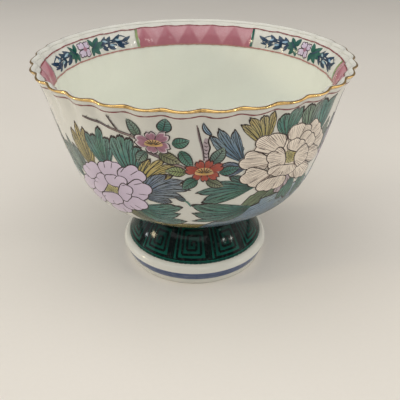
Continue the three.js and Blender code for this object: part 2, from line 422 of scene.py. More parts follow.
def thrown(name, section, columns, start_turn=0.0, closed=False):
    """A turned body: a circle of points is extruded along its section and closed."""
    bpy.ops.object.select_all(action="DESELECT")
    bpy.ops.mesh.primitive_circle_add(vertices=columns, radius=section[0].x, fill_type="NOTHING",
                                      location=(0, 0, section[0].y), rotation=(0, 0, start_turn))
    piece = bpy.context.object
    piece.name = piece.data.name = name
    bpy.ops.object.transform_apply(location=True, rotation=True, scale=True)
    with editing():
        bpy.context.tool_settings.mesh_select_mode = (True, False, False)
        bpy.ops.mesh.select_all(action="SELECT")
        for here, there in zip(section, section[1:]):
            bpy.ops.mesh.extrude_edges_move(TRANSFORM_OT_translate={"value": (0, 0, there.y - here.y)})
            share = there.x / here.x
            bpy.ops.transform.resize(value=(share, share, 1), center_override=(0, 0, there.y))
        if closed:
            select_where(piece, lambda co: on_ring(co, section[0]) or on_ring(co, section[-1]))
            bpy.ops.mesh.bridge_edge_loops()
        else:
            bpy.ops.mesh.select_all(action="SELECT")
            bpy.ops.mesh.fill_holes(sides=0)
        bpy.ops.mesh.select_all(action="SELECT")
        bpy.ops.mesh.normals_make_consistent(inside=False)
    return piece


def crease(piece, corners):
    """Keeps the rings at these section points sharp when the piece is smoothed."""
    with editing():
        for corner in corners:
            select_where(piece, lambda co: on_ring(co, corner))
            bpy.ops.transform.edge_crease(value=0.9)


def flute_part(co, bowl):
    """Which column of a flute a point is in: 0 is the groove, 2 the lobe, and 1 and 3 lie between them."""
    step = 2 * pi / bowl.flutes / 4
    return round((atan2(co.y, co.x) - bowl.flute_turn + pi / 2) / step) % 4


# How far each part of a flute is pushed out, and how far it rises at the edge of the lip, in halves of the
# flute's depth and rise; smoothing then rounds it
FLUTE_PUSH = ((-1.79, (0,)), (0.58, (1, 3)), (1.21, (2,)))
FLUTE_RISE = ((1.5, (0,)), (-0.4, (1, 3)), (-1.0, (2,)))


def press_flutes(piece, bowl, section, top):
    """Presses the grooves in and draws the lobes out, ring by ring, fading below the lip."""
    with editing():
        for ring in section:
            depth = eased((ring.y - top + bowl.flute_reach) / bowl.flute_reach) * bowl.flute_depth / 2
            if depth < NEAR:
                continue
            for push, parts in FLUTE_PUSH:
                select_where(piece, lambda co: flute_part(co, bowl) in parts and abs(co.z - ring.y) < NEAR
                             and abs(hypot(co.x, co.y) - ring.x) < 10 * NEAR)
                scale = 1 + push * depth / ring.x
                bpy.ops.transform.resize(value=(scale, scale, 1), center_override=(0, 0, ring.y))


def ripple_edge(piece, bowl, above):
    """Lets the edge of the lip rise over the grooves and fall over the lobes."""
    with editing():
        for rise, parts in FLUTE_RISE:
            select_where(piece, lambda co: co.z > above and flute_part(co, bowl) in parts)
            bpy.ops.transform.translate(value=(0, 0, rise * bowl.flute_rise / 2))


def add_values(piece, name, values):
    """Stores one number for each of the piece's points, for its finish to read."""
    piece.data.attributes.new(name, "FLOAT", "POINT").data.foreach_set("value", values)


def smoothed(piece, levels):
    """Applies a subdivision surface and shades the piece smooth, with its sharp corners kept."""
    only(piece)
    skin = piece.modifiers.new("Smooth", "SUBSURF")
    skin.levels = skin.render_levels = levels
    bpy.ops.object.modifier_apply(modifier=skin.name)
    bpy.ops.object.shade_smooth_by_angle(angle=SHARP)


def dress(piece, finish, *nodes, slot=None):
    """Gives a piece its finish and its body, and hides the nodes that it stands for; the slot is not used."""
    piece.data.materials.clear()
    piece.data.materials.append(finish.material)
    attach(piece, "root")
    if nodes:
        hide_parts(*nodes)


# Painting: drawings are flat, with x to the right and d down from the lip in mm, and are laid on a wall


class Wall:
    """A turned surface unrolled flat, to be drawn on."""

    def __init__(self, piece, line, facing):
        self.tree = BVHTree.FromObject(piece, bpy.context.evaluated_depsgraph_get())
        self.line, self.facing = [point / MM for point in line], facing
        self.down = [0.0]
        for here, there in zip(self.line, self.line[1:]):
            self.down.append(self.down[-1] + (there - here).length)
        self.shift, self.mirror = 0.0, 1

    def carry(self, shift, mirror=1):
        """Moves the drawings that follow round the wall, or turns them over."""
        self.shift, self.mirror = shift, mirror

    def section(self, d):
        d = min(max(d, 0.0), self.down[-1] - 1e-6)
        index = bisect_right(self.down, d) - 1
        share = (d - self.down[index]) / (self.down[index + 1] - self.down[index])
        here, there = self.line[index], self.line[index + 1]
        way = (there - here).normalized()
        return here.lerp(there, share), Vector((-way.y, way.x)) * self.facing

    def depth(self, z):
        """How far down the wall a height in mm lies."""
        for index, (here, there) in enumerate(zip(self.line, self.line[1:])):
            if min(here.y, there.y) <= z <= max(here.y, there.y):
                share = (z - here.y) / (there.y - here.y)
                return self.down[index] + share * (there - here).length
        return 0.0

    def width(self, d):
        """How wide one drawn mm is there."""
        return self.section(d)[0].x / AROUND

    def cell(self, x, d):
        """The small square of the wall that a drawn point falls in."""
        return (int((self.shift + self.mirror * x) % TURN / CELL), int(d / CELL))

    def lay(self, x, d, lift):
        """The point of the piece under a drawn point, lifted off the surface."""
        point, out = self.section(d)
        angle = (self.shift + self.mirror * x) / AROUND - pi / 2
        across, up = cos(angle), sin(angle)
        away = Vector((out.x * across, out.x * up, out.y))
        start = Vector((point.x * across, point.x * up, point.y)) * MM + away * 3 * MM
        hit = self.tree.ray_cast(start, -away, 6 * MM)[0]
        return (hit if hit else start - away * 3 * MM) + away * lift


def frieze_edges(wall, bowl, top):
    """How far down the inner wall the frieze's upper and lower lines lie."""
    return [wall.depth((top - drop) / MM) for drop in (bowl.frieze_top, bowl.frieze_floor)]


def curve(points, step=1.0):
    """A smooth line through points, in short steps."""
    if len(points) == 2:
        (ax, ay), (bx, by) = points
        count = max(1, ceil(hypot(bx - ax, by - ay) / step))
        return [(ax + (bx - ax) * i / count, ay + (by - ay) * i / count) for i in range(count + 1)]
    last = len(points) - 1
    result = []
    for index in range(last):
        p = [points[min(max(index + k, 0), last)] for k in (-1, 0, 1, 2)]
        steps = max(1, ceil(hypot(p[2][0] - p[1][0], p[2][1] - p[1][1]) / step))
        for k in range(steps):
            t = k / steps
            weights = (-t / 2 + t * t - t ** 3 / 2, 1 - 2.5 * t * t + 1.5 * t ** 3,
                       t / 2 + 2 * t * t - 1.5 * t ** 3, -t * t / 2 + t ** 3 / 2)
            result.append(tuple(sum(w * q[axis] for w, q in zip(weights, p)) for axis in (0, 1)))
    return result + [points[-1]]


class Enamel:
    """Every film of one enamel, gathered into one piece."""

    def __init__(self, name, wall, paint, finish):
        self.name, self.wall, self.paint, self.finish = name, wall, paint, finish
        self.points, self.faces, self.wash, self.tone = [], [], [], []

    def sheet(self, rows, layer, tone=0.5):
        """A grid of points, each of x, d, its share of the lift and its wash, laid as one film."""
        start, columns = len(self.points), len(rows[0])
        facing = self.wall.facing * self.wall.mirror
        turned = 0.0
        for row, after in zip(rows, rows[1:]):
            corners = (row[0], row[1], after[1], after[0])
            turned += sum(a[0] * b[1] - b[0] * a[1] for a, b in zip(corners, corners[1:] + corners[:1]))
        height = self.paint.lift + self.paint.layer * layer
        for row in rows:
            for x, d, share, wash in row:
                self.points.append(self.wall.lay(x, d, height * share))
                self.wash.append(wash)
                self.tone.append(tone)
        for row in range(len(rows) - 1):
            for column in range(columns - 1):
                a = start + row * columns + column
                face = (a, a + 1, a + columns + 1, a + columns)
                self.faces.append(face if turned * facing < 0 else face[::-1])

    def stroke(self, line, width, layer, taper=0.0, step=0.9):
        """A brush stroke along a line; width in mm; taper thins its ends."""
        line = curve(line, step)
        rows, last = [], len(line) - 1
        for index, (x, d) in enumerate(line):
            before, after = line[max(index - 1, 0)], line[min(index + 1, last)]
            squeeze = self.wall.width(d)
            wx, wd = (after[0] - before[0]) * squeeze, after[1] - before[1]
            length = hypot(wx, wd) or 1.0
            share = index / last
            half = width / 2 * (1 - taper * abs(2 * share - 1) ** 2) / length
            nx, nd = -wd * half / squeeze, wx * half
            rows.append([(x - nx, d - nd, 1, share), (x + nx, d + nd, 1, share)])
        self.sheet(rows, layer)

    def ring(self, d, width, layer, waver, follow=0.0):
        """A line all the way round, with the waver of the hand; follow lets it ripple with the flutes."""
        rows, count = ([], []), 480
        for index in range(count + 1):
            swing = 2 * pi * (index % count) / count
            drift = waver * (sin(swing * 26) * 0.5 + sin(swing * 61 + 1) * 0.3)
            drift += follow * cos(swing * 32 - 0.3)
            thick = width * (1 + 0.18 * sin(swing * 89) + 0.12 * sin(swing * 143 + 1))
            for row, side in zip(rows, (-1, 1)):
                row.append((TURN * index / count, d + drift + side * thick / 2, 1, 0.5))
        self.sheet(rows, layer)

    def finished(self):
        """The gathered films as one mesh, with their seams joined."""
        mesh = bpy.data.meshes.new(self.name)
        mesh.from_pydata(self.points, [], self.faces)
        piece = bpy.data.objects.new(self.name, mesh)
        add_values(piece, "wash", self.wash)
        add_values(piece, "tone", self.tone)
        bpy.context.scene.collection.objects.link(piece)
        only(piece)
        with editing():
            bpy.ops.mesh.select_all(action="SELECT")
            bpy.ops.mesh.remove_doubles(threshold=2 * NEAR)
        bpy.ops.object.shade_smooth_by_angle(angle=SHARP)
        dress(piece, self.finish)


class Palette:
    """The enamels of one wall, mixed as they are called for; a swap gives one in place of another."""

    def __init__(self, prefix, wall, context):
        self.prefix, self.wall, self.paint = prefix, wall, context.scene.paint_sizes
        self.pen, self.fine = self.paint.outline / MM, self.paint.vein / MM
        self.colours, self.pots, self.swap, self.painted = context.scene.glaze_colours, {}, {}, {}

    def __getitem__(self, name):
        name = self.swap.get(name, name)
        if name not in self.pots:
            finish = KINDS[name](f"{self.prefix} {name}", getattr(self.colours, name))
            self.pots[name] = Enamel(f"{self.prefix}_{name}", self.wall, self.paint, finish)
        return self.pots[name]

    def over(self, points):
        """The first layer that is free over all that is painted under these points."""
        cells = {self.wall.cell(point[0], point[1]) for point in points}
        layer = 1 + max(self.painted.get(cell, 0) for cell in cells)
        self.painted.update(dict.fromkeys(cells, layer))
        return layer

    def film(self, fill, rows, tone=0.5):
        """Lays a fill over what is painted already, and gives the layer that it took."""
        layer = self.over(point for row in rows for point in row)
        self[fill].sheet(rows, layer, tone)
        return layer

    def line(self, points, width, taper=0.3, pot="outline"):
        """A stroke that lies over what is painted already."""
        layer = self.over(curve(points, CELL * 0.8))
        self[pot].stroke(points, width, layer, taper)

    def finished(self):
        for pot in self.pots.values():
            pot.finished()


def facet(d):
    """How long a film's facets may be: short near the lip, where the flutes are deep."""
    return 0.8 if d < 18 else 1.15


def polar(middle, angle, reach):
    return (middle[0] + reach * cos(angle), middle[1] + reach * sin(angle))


def tilted(middle, x, d, tilt):
    return (middle[0] + x * cos(tilt) - d * sin(tilt), middle[1] + x * sin(tilt) + d * cos(tilt))


def outward(count):
    """The shares of a fill's reach at which its rings lie, from just off its middle to its edge."""
    return [0.02 + 0.98 * k / count for k in range(count + 1)]


def drawn_in(ring, middle, share):
    """A ring of points drawn in towards the middle, as one ring of a fill."""
    return [(middle[0] + (x - middle[0]) * share, middle[1] + (d - middle[1]) * share, 1.0, share)
            for x, d in ring]


def round_off(rings):
    """A fill's rings, with a last one that brings its edge down to the glaze."""
    return rings + [[(x, d, 0.0, wash) for x, d, _, wash in rings[-1]]]


def along(base, tip, bow, share):
    """A point of a bowed spine, and the way it runs there."""
    (ax, ad), (bx, bd) = base, tip
    mx, md = (ax + bx) / 2 - (bd - ad) * bow, (ad + bd) / 2 + (bx - ax) * bow
    x = ax * (1 - share) ** 2 + 2 * mx * share * (1 - share) + bx * share ** 2
    d = ad * (1 - share) ** 2 + 2 * md * share * (1 - share) + bd * share ** 2
    wx = 2 * (1 - share) * (mx - ax) + 2 * share * (bx - mx)
    wd = 2 * (1 - share) * (md - ad) + 2 * share * (bd - md)
    length = hypot(wx, wd) or 1.0
    return (x, d), (wx / length, wd / length)


def leaf(pots, fill, base, tip, width, bow=0.0, teeth=0, ribs=False, tone=0.5, blunt=0.7, drawn=True):
    """A leaf: a spine from base to tip, swelling to its width, with an outline and veins."""
    length = hypot(tip[0] - base[0], tip[1] - base[1])
    step = facet(min(base[1], tip[1]))
    count = max(8, ceil(length / step), teeth * 5)
    sides = max(2, ceil(width / 2 / step))

    def half(t):
        shape = (sin(pi * t ** 0.85) ** blunt if 0 < t < 1 else 0.0) + 0.12 * (1 - t)
        saw = 1 - 0.22 * ((t * teeth) % 1) if teeth and t < 0.93 else 1.0
        return max(width / 2 * shape * saw, 0.02)

    def spot(t, across):
        (x, d), (wx, wd) = along(base, tip, bow, t)
        return (x - wd * half(t) * across, d + wx * half(t) * across)

    shares = [index / count for index in range(count + 1)]
    columns = [(index - sides) / sides for index in range(2 * sides + 1)]
    grid = [[(*spot(t, across), 1.0, t) for across in columns] for t in shares]
    grid = [[(*row[0][:2], 0.0, row[0][3])] + row + [(*row[-1][:2], 0.0, row[-1][3])] for row in grid]
    layer = pots.film(fill, grid, tone)
    if not drawn:
        return
    for side in (-1, 1):
        edge = [[(*spot(t, side * within), 1.0, t) for within in (1.02, 1 - min(pots.pen / half(t), 0.7))]
                for t in shares]
        pots["outline"].sheet(edge, layer + OUTLINES)
    spine = [spot(t, 0) for t in (0.0, 0.25, 0.5, 0.75, 0.93)]
    pots["outline"].stroke(spine, pots.pen * 0.8, layer + RIBS, 0.5)
    if ribs:
        pairs = max(3, round(length / 1.5))
        for index in range(pairs):
            start = 0.08 + 0.78 * index / pairs
            for side in (-1, 1):
                marks = [spot(start + on, side * out) for on, out in ((0, 0), (0.10, 0.45), (0.15, 0.86))]
                pots["vein"].stroke(marks, pots.fine, layer + VEINS, 0.4, step)
        return
    lines = max(1, round(width / 2 / 0.85))
    for side in (-1, 1):
        for index in range(1, lines + 1):
            across = index / (lines + 0.7)
            start, end = 0.04 + 0.10 * (index % 2), 0.95 - 0.22 * across
            marks = [spot(start + (end - start) * k / 5, side * across) for k in range(6)]
            pots["vein"].stroke(marks, pots.fine, layer + VEINS, 0.5, step)


def fan(pots, fill, base, tips, tone=0.5, curl=0.0, pointed=0.0, spread=0.5):
    """A leaf of lobes that fan out and curl from its base, hatched from the base to its edge."""
    far, step = max(hypot(x - base[0], d - base[1]) for x, d in tips), facet(min(d for x, d in tips))
    way = atan2(*(sum(tip[axis] for tip in tips) / len(tips) - base[axis] for axis in (1, 0)))

    def swing(reach):
        return curl * (reach / far) ** 2

    def spot(turned, reach):
        return polar(base, way + turned + swing(reach), reach)

    turns = []
    for x, d in tips:
        reach = hypot(x - base[0], d - base[1])
        turns.append(((atan2(d - base[1], x - base[0]) - way - swing(reach) + pi) % (2 * pi) - pi, reach))
    turns.sort()
    knots = [(turns[0][0] - spread, turns[0][1] * 0.05)]
    for (turn_a, reach_a), (turn_b, reach_b) in zip(turns, turns[1:]):
        knots += [(turn_a, reach_a), ((turn_a + turn_b) / 2, min(reach_a, reach_b) * (0.94 - 0.16 * pointed))]
    knots += [turns[-1], (turns[-1][0] + spread, turns[-1][1] * 0.05)]
    edge = []
    for (turn_a, reach_a), (turn_b, reach_b) in zip(knots, knots[1:]):
        low, high = min(reach_a, reach_b), max(reach_a, reach_b)
        sharp = pointed * (0.55 if low < 0.2 * far else 1.0)
        count = max(9, ceil((turn_b - turn_a) * far * 0.9 / step))
        for k in range(count):
            rise = k / count if reach_b > reach_a else 1 - k / count
            swell = sin(pi / 2 * rise) ** 0.5 * (1 - sharp) + rise ** 0.75 * sharp
            nick = 0.035 * max(0.0, 1 - abs(rise - 0.72) / 0.12)
            edge.append((turn_a + (turn_b - turn_a) * k / count, (low + (high - low) * swell) * (1 - nick)))
    edge.append(knots[-1])

    grid = [[(*spot(turned, reach * f), 1.0, f) for turned, reach in edge] for f in outward(ceil(far / step))]
    layer = pots.film(fill, round_off(grid), tone)
    rim = [[(*spot(turned, reach * f + back), 1.0, 1.0) for turned, reach in edge]
           for f, back in ((1.01, 0.0), (0.98, -pots.pen))]
    pots["outline"].sheet(rim, layer + OUTLINES)
    for turned, reach in turns:
        rib = [spot(turned, reach * share) for share in (0.08, 0.5, 0.93)]
        pots["outline"].stroke(rib, pots.pen * 0.6, layer + RIBS, 0.5, step)
    lines = ceil((edge[-1][0] - edge[0][0]) * far / HATCHING)
    for k in range(1, lines):
        turned = edge[0][0] + (edge[-1][0] - edge[0][0]) * k / lines
        reach = min(edge, key=lambda e: abs(e[0] - turned))[1]
        start = (0.14, 0.62, 0.36, 0.74)[k % 4]
        if reach * (0.95 - start) > 1.5:
            bent = spot(turned + 0.04 * sin(k * 1.7), reach * (start + 0.95) / 2)
            marks = [spot(turned, reach * start), bent, spot(turned, reach * 0.95)]
            pots["vein"].stroke(marks, pots.fine, layer + VEINS, 0.4, step)


def petal(pots, fill, middle, spread, root, tilt=0.0, hatch=0.0, tone=0.5):
    """A petal: a squarish round whose outer edge breaks into frills, with an outline and creases."""
    a, b = spread[0] / 2, spread[1] / 2
    away = atan2(middle[1] - root[1], middle[0] - root[0])
    step = facet(middle[1])
    count = max(28, ceil((a + b) * 4.6 / step))
    turned = 0.5 * sin(middle[0] * 1.7 + middle[1] * 2.9)
    square, frill, lobes = 2.7, 0.15, 5
    outline = []
    for index in range(count):
        t = 2 * pi * index / count
        reach = 1 / (abs(cos(t) / a) ** square + abs(sin(t) / b) ** square) ** (1 / square)
        far = t + tilt - away
        outer = clamped(cos(far) * 0.9 + 0.45)
        reach *= 1 + 0.4 * frill - frill * outer * (1 - abs(cos(lobes * (far + turned) / 2)) ** 0.6) * 1.6
        outline.append((t + tilt, reach))
    outline.append(outline[0])

    def from_root(x, d):
        return hypot(x - root[0], d - root[1])

    reaches = [from_root(*polar(middle, *point)) for point in outline]
    near, most = min(reaches), max(reaches)
    rings = max(3, ceil(max(a, b) / step / 1.2))
    grid = []
    for f in outward(rings):
        ring = [polar(middle, angle, reach * f) for angle, reach in outline]
        grid.append([(x, d, 1.0, clamped((from_root(x, d) - near) / (most - near))) for x, d in ring])
    layer = pots.film(fill, round_off(grid), tone)
    squeeze = pots.wall.width(middle[1])
    edge = [[], []]
    for angle, reach in outline:
        inset = pots.pen / hypot(cos(angle) * squeeze, sin(angle))
        edge[0].append((*polar(middle, angle, reach * 1.01), 1.0, 0.5))
        edge[1].append((*polar(middle, angle, reach - inset), 1.0, 0.5))
    pots["outline"].sheet(edge, layer + OUTLINES)

    def marked(index, deep, pot, width):
        here = polar(middle, *outline[index])
        marks = [(here[0] + (root[0] - here[0]) * share, here[1] + (root[1] - here[1]) * share)
                 for share in (0.03, deep * 0.5, deep)]
        pots[pot].stroke(marks, width, layer + VEINS, 0.6, step)

    for index in range(1, count):
        before, here, after = (outline[k % count][1] for k in (index - 1, index, index + 1))
        if here < before and here <= after and cos(outline[index][0] - away) > -0.2:
            marked(index, 0.24, "outline", pots.pen * 0.8)
    girth = 0.0
    for index in range(count if hatch else 0):
        here, there = (polar(middle, *point) for point in outline[index:index + 2])
        girth += hypot((there[0] - here[0]) * squeeze, there[1] - here[1])
        if girth > HATCHING and cos(outline[index][0] - away) > -0.35:
            girth = 0.0
            marked(index, hatch * (0.85 + 0.35 * sin(index * 2.3)), "hatch", pots.fine * 0.78)


def oval(middle, spread, tilt=0.0):
    """Points round an oval, with the first one again at the end."""
    count = 26
    angles = [2 * pi * (index % count) / count for index in range(count + 1)]
    return [tilted(middle, cos(t) * spread[0] / 2, sin(t) * spread[1] / 2, tilt) for t in angles]


def pool(pots, fill, middle, spread, tilt=0.0):
    """A plain round of enamel, as under a flower or in its eye."""
    rings = max(2, ceil(max(spread) / 2 / facet(middle[1])))
    grid = [drawn_in(oval(middle, spread, tilt), middle, f) for f in outward(rings)]
    return pots.film(fill, round_off(grid))


def core(pots, middle, spread, tilt):
    """The stamens of a peony: a mass of yellow with dark dots."""
    layer, dots = pool(pots, "stamen", middle, spread, tilt), 34
    for index in range(dots):
        angle, reach = index * 2.4, 0.94 * (index / dots) ** 0.5
        x, d = tilted(middle, cos(angle) * reach * spread[0] / 2, sin(angle) * reach * spread[1] / 2, tilt)
        pots["outline"].stroke([(x, d), (x + 0.4, d + 0.5)], 0.5, layer + OUTLINES, 0.3)


def camellia(pots, fill, petals, centre, tone=0.5):
    """An open camellia: a ring of notched petals round a golden eye with fanned stamens."""
    middle, (wide, tall) = centre[:2], centre[2:]
    edge, clefts = [], []
    for index, (swing, reach) in enumerate(petals):
        before, after = petals[index - 1], petals[(index + 1) % len(petals)]
        start = (before[0] - (360 if index == 0 else 0) + swing) / 2
        end = (swing + after[0] + (360 if index == len(petals) - 1 else 0)) / 2
        low_a, low_b = min(before[1], reach) * 0.56, min(after[1], reach) * 0.56
        clefts.append((radians(start), low_a))
        for k in range(14):
            t = k / 14
            low = low_a + (low_b - low_a) * t
            dent = 0.17 * max(0.0, 1 - abs(t - 0.5) / 0.11) + 0.06 * max(0.0, 1 - abs(t - 0.26) / 0.07)
            away = (low + (reach - low) * sin(pi * t) ** 0.45) * (1 - dent)
            edge.append((radians(start + (end - start) * t), away))
    edge.append((edge[0][0] + 2 * pi, edge[0][1]))
    rings = 9
    grid = [[(*polar(middle, turned, reach * f), 1.0, k / rings) for turned, reach in edge]
            for k, f in enumerate(outward(rings))]
    layer = pots.film(fill, round_off(grid), tone)
    pots["outline"].sheet([[(*polar(middle, turned, reach + more), 1.0, 0.5) for turned, reach in edge]
                           for more in (0.05, -pots.pen * 1.2)], layer + OUTLINES)
    for turned, low in clefts:
        marks = [polar(middle, turned, low * 0.96), polar(middle, turned + 0.06, low * 0.55)]
        pots["outline"].stroke(marks, pots.pen * 0.9, layer + OUTLINES)
    for turned, reach in edge[3::7]:
        marks = [polar(middle, turned, reach * share) for share in (0.72, 0.45)]
        pots["hatch"].stroke(marks, pots.fine * 0.8, layer + VEINS, 0.6)
    root = (middle[0], middle[1] + tall * 0.3)
    dome = [(root[0] + x, root[1] + (d if d < 0 else d * 0.3)) for x, d in oval((0, 0), (wide, tall * 1.6))]
    layer = pots.film("eye", round_off([drawn_in(dome, root, share) for share in (0.02, 0.35, 0.7, 1.0)]))
    for index in range(7):
        swing = (index / 6 - 0.5) * 2.3
        way = (sin(swing) * wide * 0.5, -cos(swing) * tall * 0.8)
        marks = [(root[0] + way[0] * share, root[1] + way[1] * share) for share in (0.2, 0.97)]
        pots["outline"].stroke(marks, pots.fine * 1.8, layer + RIBS, 0.5)


def twig(pots, points, width):
    """A twig as a bark stroke between drawn edges, with a few thorns."""
    pots.line(points, width, 0.3, "bark")
    for side in (-1, 1):
        pots.line([(x + side * width * 0.2, d - side * width * 0.5) for x, d in points], pots.fine * 1.1, 0.3)
    spine = curve(points, 3.2)
    for index in range(1, len(spine) - 1, 2):
        (x, d), side = spine[index], (-1) ** (index // 2)
        pots.line([(x, d), (x + side * 0.8, d - 1.5)], pots.fine * 1.4, 0.8)


# Finishes


def porcelain(name, colours, inside_share=True):
    """Clear glaze over white clay, with faint ripples and a few specks; the inside is greener and is painted
    lighter as lit, while the outside is painted darker as in shade.
    """
    finish = Finish(name, Roughness=0.12, IOR=GLOSS)
    cloud = finish.noise(22, 3)
    grain = finish.noise(420, 4, 0.6)
    # The inside below the frieze is painted lighter, as lit, and greener; the foot takes a little of the
    # inside colour at random
    deep = finish.attribute("inside") if inside_share else cloud * 0.2
    body = finish.mix(deep, colours.outside, colours.inside)
    shade = (cloud * 0.7 + grain * 0.3).between(0.25, 0.85)
    body = finish.mix(shade * 0.45, body, finish.mix(deep, lighter(colours.outside, -0.09),
                                                     lighter(colours.inside, -0.10)))
    specks = finish.specks(95, 0.020, 0.045) * finish.noise(31, 1).between(0.52, 0.60)
    body = finish.mix(specks * 0.55, body, (0.25, 0.20, 0.14))
    finish.drive("Base Color", body)
    finish.drive("Roughness", grain * 0.05 + 0.085)
    finish.bump(cloud * 0.8 + grain * 0.08, 0.10, 0.0012)
    return finish


def bare_slip(name, colours):
    """Slip and unglazed clay, matt and finely gritty."""
    finish = Finish(name, Roughness=0.75)
    grit = finish.noise(1800, 4, 0.7)
    finish.drive("Base Color", finish.mix(grit, lighter(colours.outside, -0.28),
                                          lighter(colours.outside, -0.08)))
    finish.bump(grit, 0.35, 0.0003)
    return finish


def gilding(name, colours):
    """Burnished gold, brushed on by hand up to the middle of the lip, with dark brown patches that are partly
    rubbed-thin wear and partly a painted dark reflection.
    """
    finish = Finish(name, IOR=GLOSS)
    brush = finish.noise(700, 3, 0.6, stretch=(1, 1, 0.3))
    rub = finish.noise(130, 4, 0.7)
    gilt = (finish.attribute("gilt") + brush * 0.22 + rub * 0.20).between(0.80, 0.86)
    # Patches painted dark brown, partly as wear and partly as a painted dark reflection; they are also
    # rougher
    wear_and_dark_reflection = (rub * 0.7 + brush * 0.4).between(0.52, 0.70)
    gold = finish.mix(brush, colours.gold, lighter(colours.gold, 0.18))
    gold = finish.mix(wear_and_dark_reflection * 0.8, gold, colours.worn_gold_and_dark_reflection)
    finish.drive("Base Color", finish.mix(gilt, colours.outside, gold))
    finish.drive("Metallic", gilt)
    finish.drive("Roughness", wear_and_dark_reflection * 0.20 + brush * 0.08 + 0.09)
    finish.bump(brush * 0.6 + rub * 0.4, 0.22, 0.0003)
    return finish


def bell_green(name, colours):
    """Thick dark green enamel, paler in patches where it thins between strokes; it is also painted paler near
    the shoulder and darker up towards the neck, partly as thin enamel at the shoulder and partly as painted
    shade under the bowl.
    """
    finish = Finish(name, Roughness=0.05, IOR=1.33, Specular_IOR_Level=0.3)
    height = finish.height()
    # Paler near the shoulder, darker above it: partly thin enamel, partly painted shade under the bowl
    low = 1 - height.between(0.0138, 0.024)
    cloud = finish.noise(150, 3, 0.6)
    streak = finish.noise(620, 3, 0.6, stretch=(1, 1, 0.12))
    share = (low * 0.55 + cloud * 0.45 + streak * 0.45 - 0.18).between(0.15, 1.0)
    finish.drive("Base Color", finish.mix(share, colours.bell, colours.bell_thin_and_lit))
    finish.drive("Roughness", cloud * 0.05 + 0.075)
    finish.bump(cloud * 0.6 + streak * 0.4, 0.16, 0.0007)
    return finish


def cobalt(name, colours):
    """Cobalt under the glaze: a brushed band that breaks paler at its edges."""
    finish = Finish(name, Roughness=0.10, IOR=GLOSS)
    height = finish.height()
    streak = finish.noise(95, 3, 0.6, stretch=(1, 1, 9))
    cloud = finish.noise(240, 3, 0.6)
    rim = height.between(0.0086, 0.0095) + (1 - height.between(0.0041, 0.0052))
    share = (streak * 0.6 + cloud * 0.4 + rim * 0.35 - 0.12).between(0.15, 0.95)
    finish.drive("Base Color", finish.mix(share, lighter(colours.band, -0.25), lighter(colours.band, 0.22)))
    finish.drive("Roughness", cloud * 0.06 + 0.07)
    finish.bump(streak, 0.08, 0.0005)
    return finish


def panel_pink(name, colours):
    """Rose enamel, mottled, with painted shade: a darker triangle down from the lip in each flute, standing
    in for the shading of the flutes.
    """
    finish = Finish(name, Roughness=0.16, IOR=GLOSS)
    cloud = finish.noise(190, 3, 0.6)
    stipple = finish.noise(1500, 3, 0.6)
    # wash marks a darker triangle in each flute: painted shade of the flutes
    pool = finish.attribute("wash")
    body = finish.mix((cloud * 0.6 + stipple * 0.4).between(0.3, 0.7), lighter(colours.pink, 0.08),
                      lighter(colours.pink, 0.18))
    body = finish.mix(pool * (0.7 + cloud * 0.3), body, lighter(colours.pink, -0.12))
    finish.drive("Base Color", body)
    finish.drive("Roughness", stipple * 0.12 + 0.10)
    finish.bump(cloud * 0.5 + stipple * 0.3, 0.2, 0.0005)
    return finish


def leaf_enamel(name, rgb):
    """Leaf enamel laid on wet: its colour drifts to blue and to grey, deep at the base, thin at the tips."""
    finish = Finish(name, Roughness=0.14, IOR=GLOSS)
    wash, tone = finish.attribute("wash"), finish.attribute("tone")
    drift = finish.noise(95, 2, 0.5)
    cloud = finish.noise(240, 3, 0.6)
    brush = finish.noise(1100, 2, stretch=(1, 1, 0.3))
    bluish = (rgb[0] * 0.75, rgb[1] * 0.85, rgb[2] * 1.08)
    body = finish.mix(drift.between(0.42, 0.62), bluish, rgb)
    thin = (wash * 0.6 + cloud * 0.7 + brush * 0.2 - 0.35).between(0.2, 0.95)
    body = finish.mix(thin * 0.55, body, lighter(rgb, min(0.26, max(rgb) * 1.15)))
    warm = (rgb[0] * 0.9 + 0.09, rgb[1] * 0.9 + 0.06, rgb[2] * 0.65)
    body = finish.mix(tone.between(0.5, 1.0) * 0.7, body, warm)
    deep = (1 - wash.between(0.0, 0.55)) * 0.45 + (1 - tone.between(0.0, 0.5)) * 0.3
    finish.drive("Base Color", finish.mix(deep, body, lighter(rgb, -0.65)))
    finish.drive("Roughness", brush * 0.12 + 0.08)
    finish.bump(cloud * 0.4 + brush * 0.3, 0.15, 0.0004)
    return finish


def petal_enamel(name, rgb):
    """Petal enamel: a soft wash, deeper at the root, and nearly white at its rim where the tone is high."""
    finish = Finish(name, Roughness=0.18, IOR=GLOSS)
    wash, tone = finish.attribute("wash"), finish.attribute("tone")
    cloud = finish.noise(260, 3, 0.6)
    stipple = finish.noise(1900, 2)
    share = (wash * 0.9 + cloud * 0.30 + stipple * 0.12 - 0.20).between(0.05, 1.0)
    body = finish.mix(share, lighter(rgb, -0.13), lighter(rgb, 0.06))
    finish.drive("Base Color", finish.mix((wash * tone).between(0.76, 0.92), body, lighter(rgb, 0.62)))
    finish.drive("Roughness", stipple * 0.10 + 0.13)
    finish.bump(cloud * 0.5 + stipple * 0.1, 0.12, 0.0004)
    return finish


def drawn_line(name, rgb):
    """A pen line in dry colour, a little paler where the pen ran light."""
    finish = Finish(name, Roughness=0.3, IOR=GLOSS)
    ink = finish.noise(650, 3, 0.6)
    finish.drive("Base Color", finish.mix(ink.between(0.42, 0.78), rgb, lighter(rgb, 0.03)))
    finish.drive("Roughness", ink * 0.25 + 0.15)
    return finish


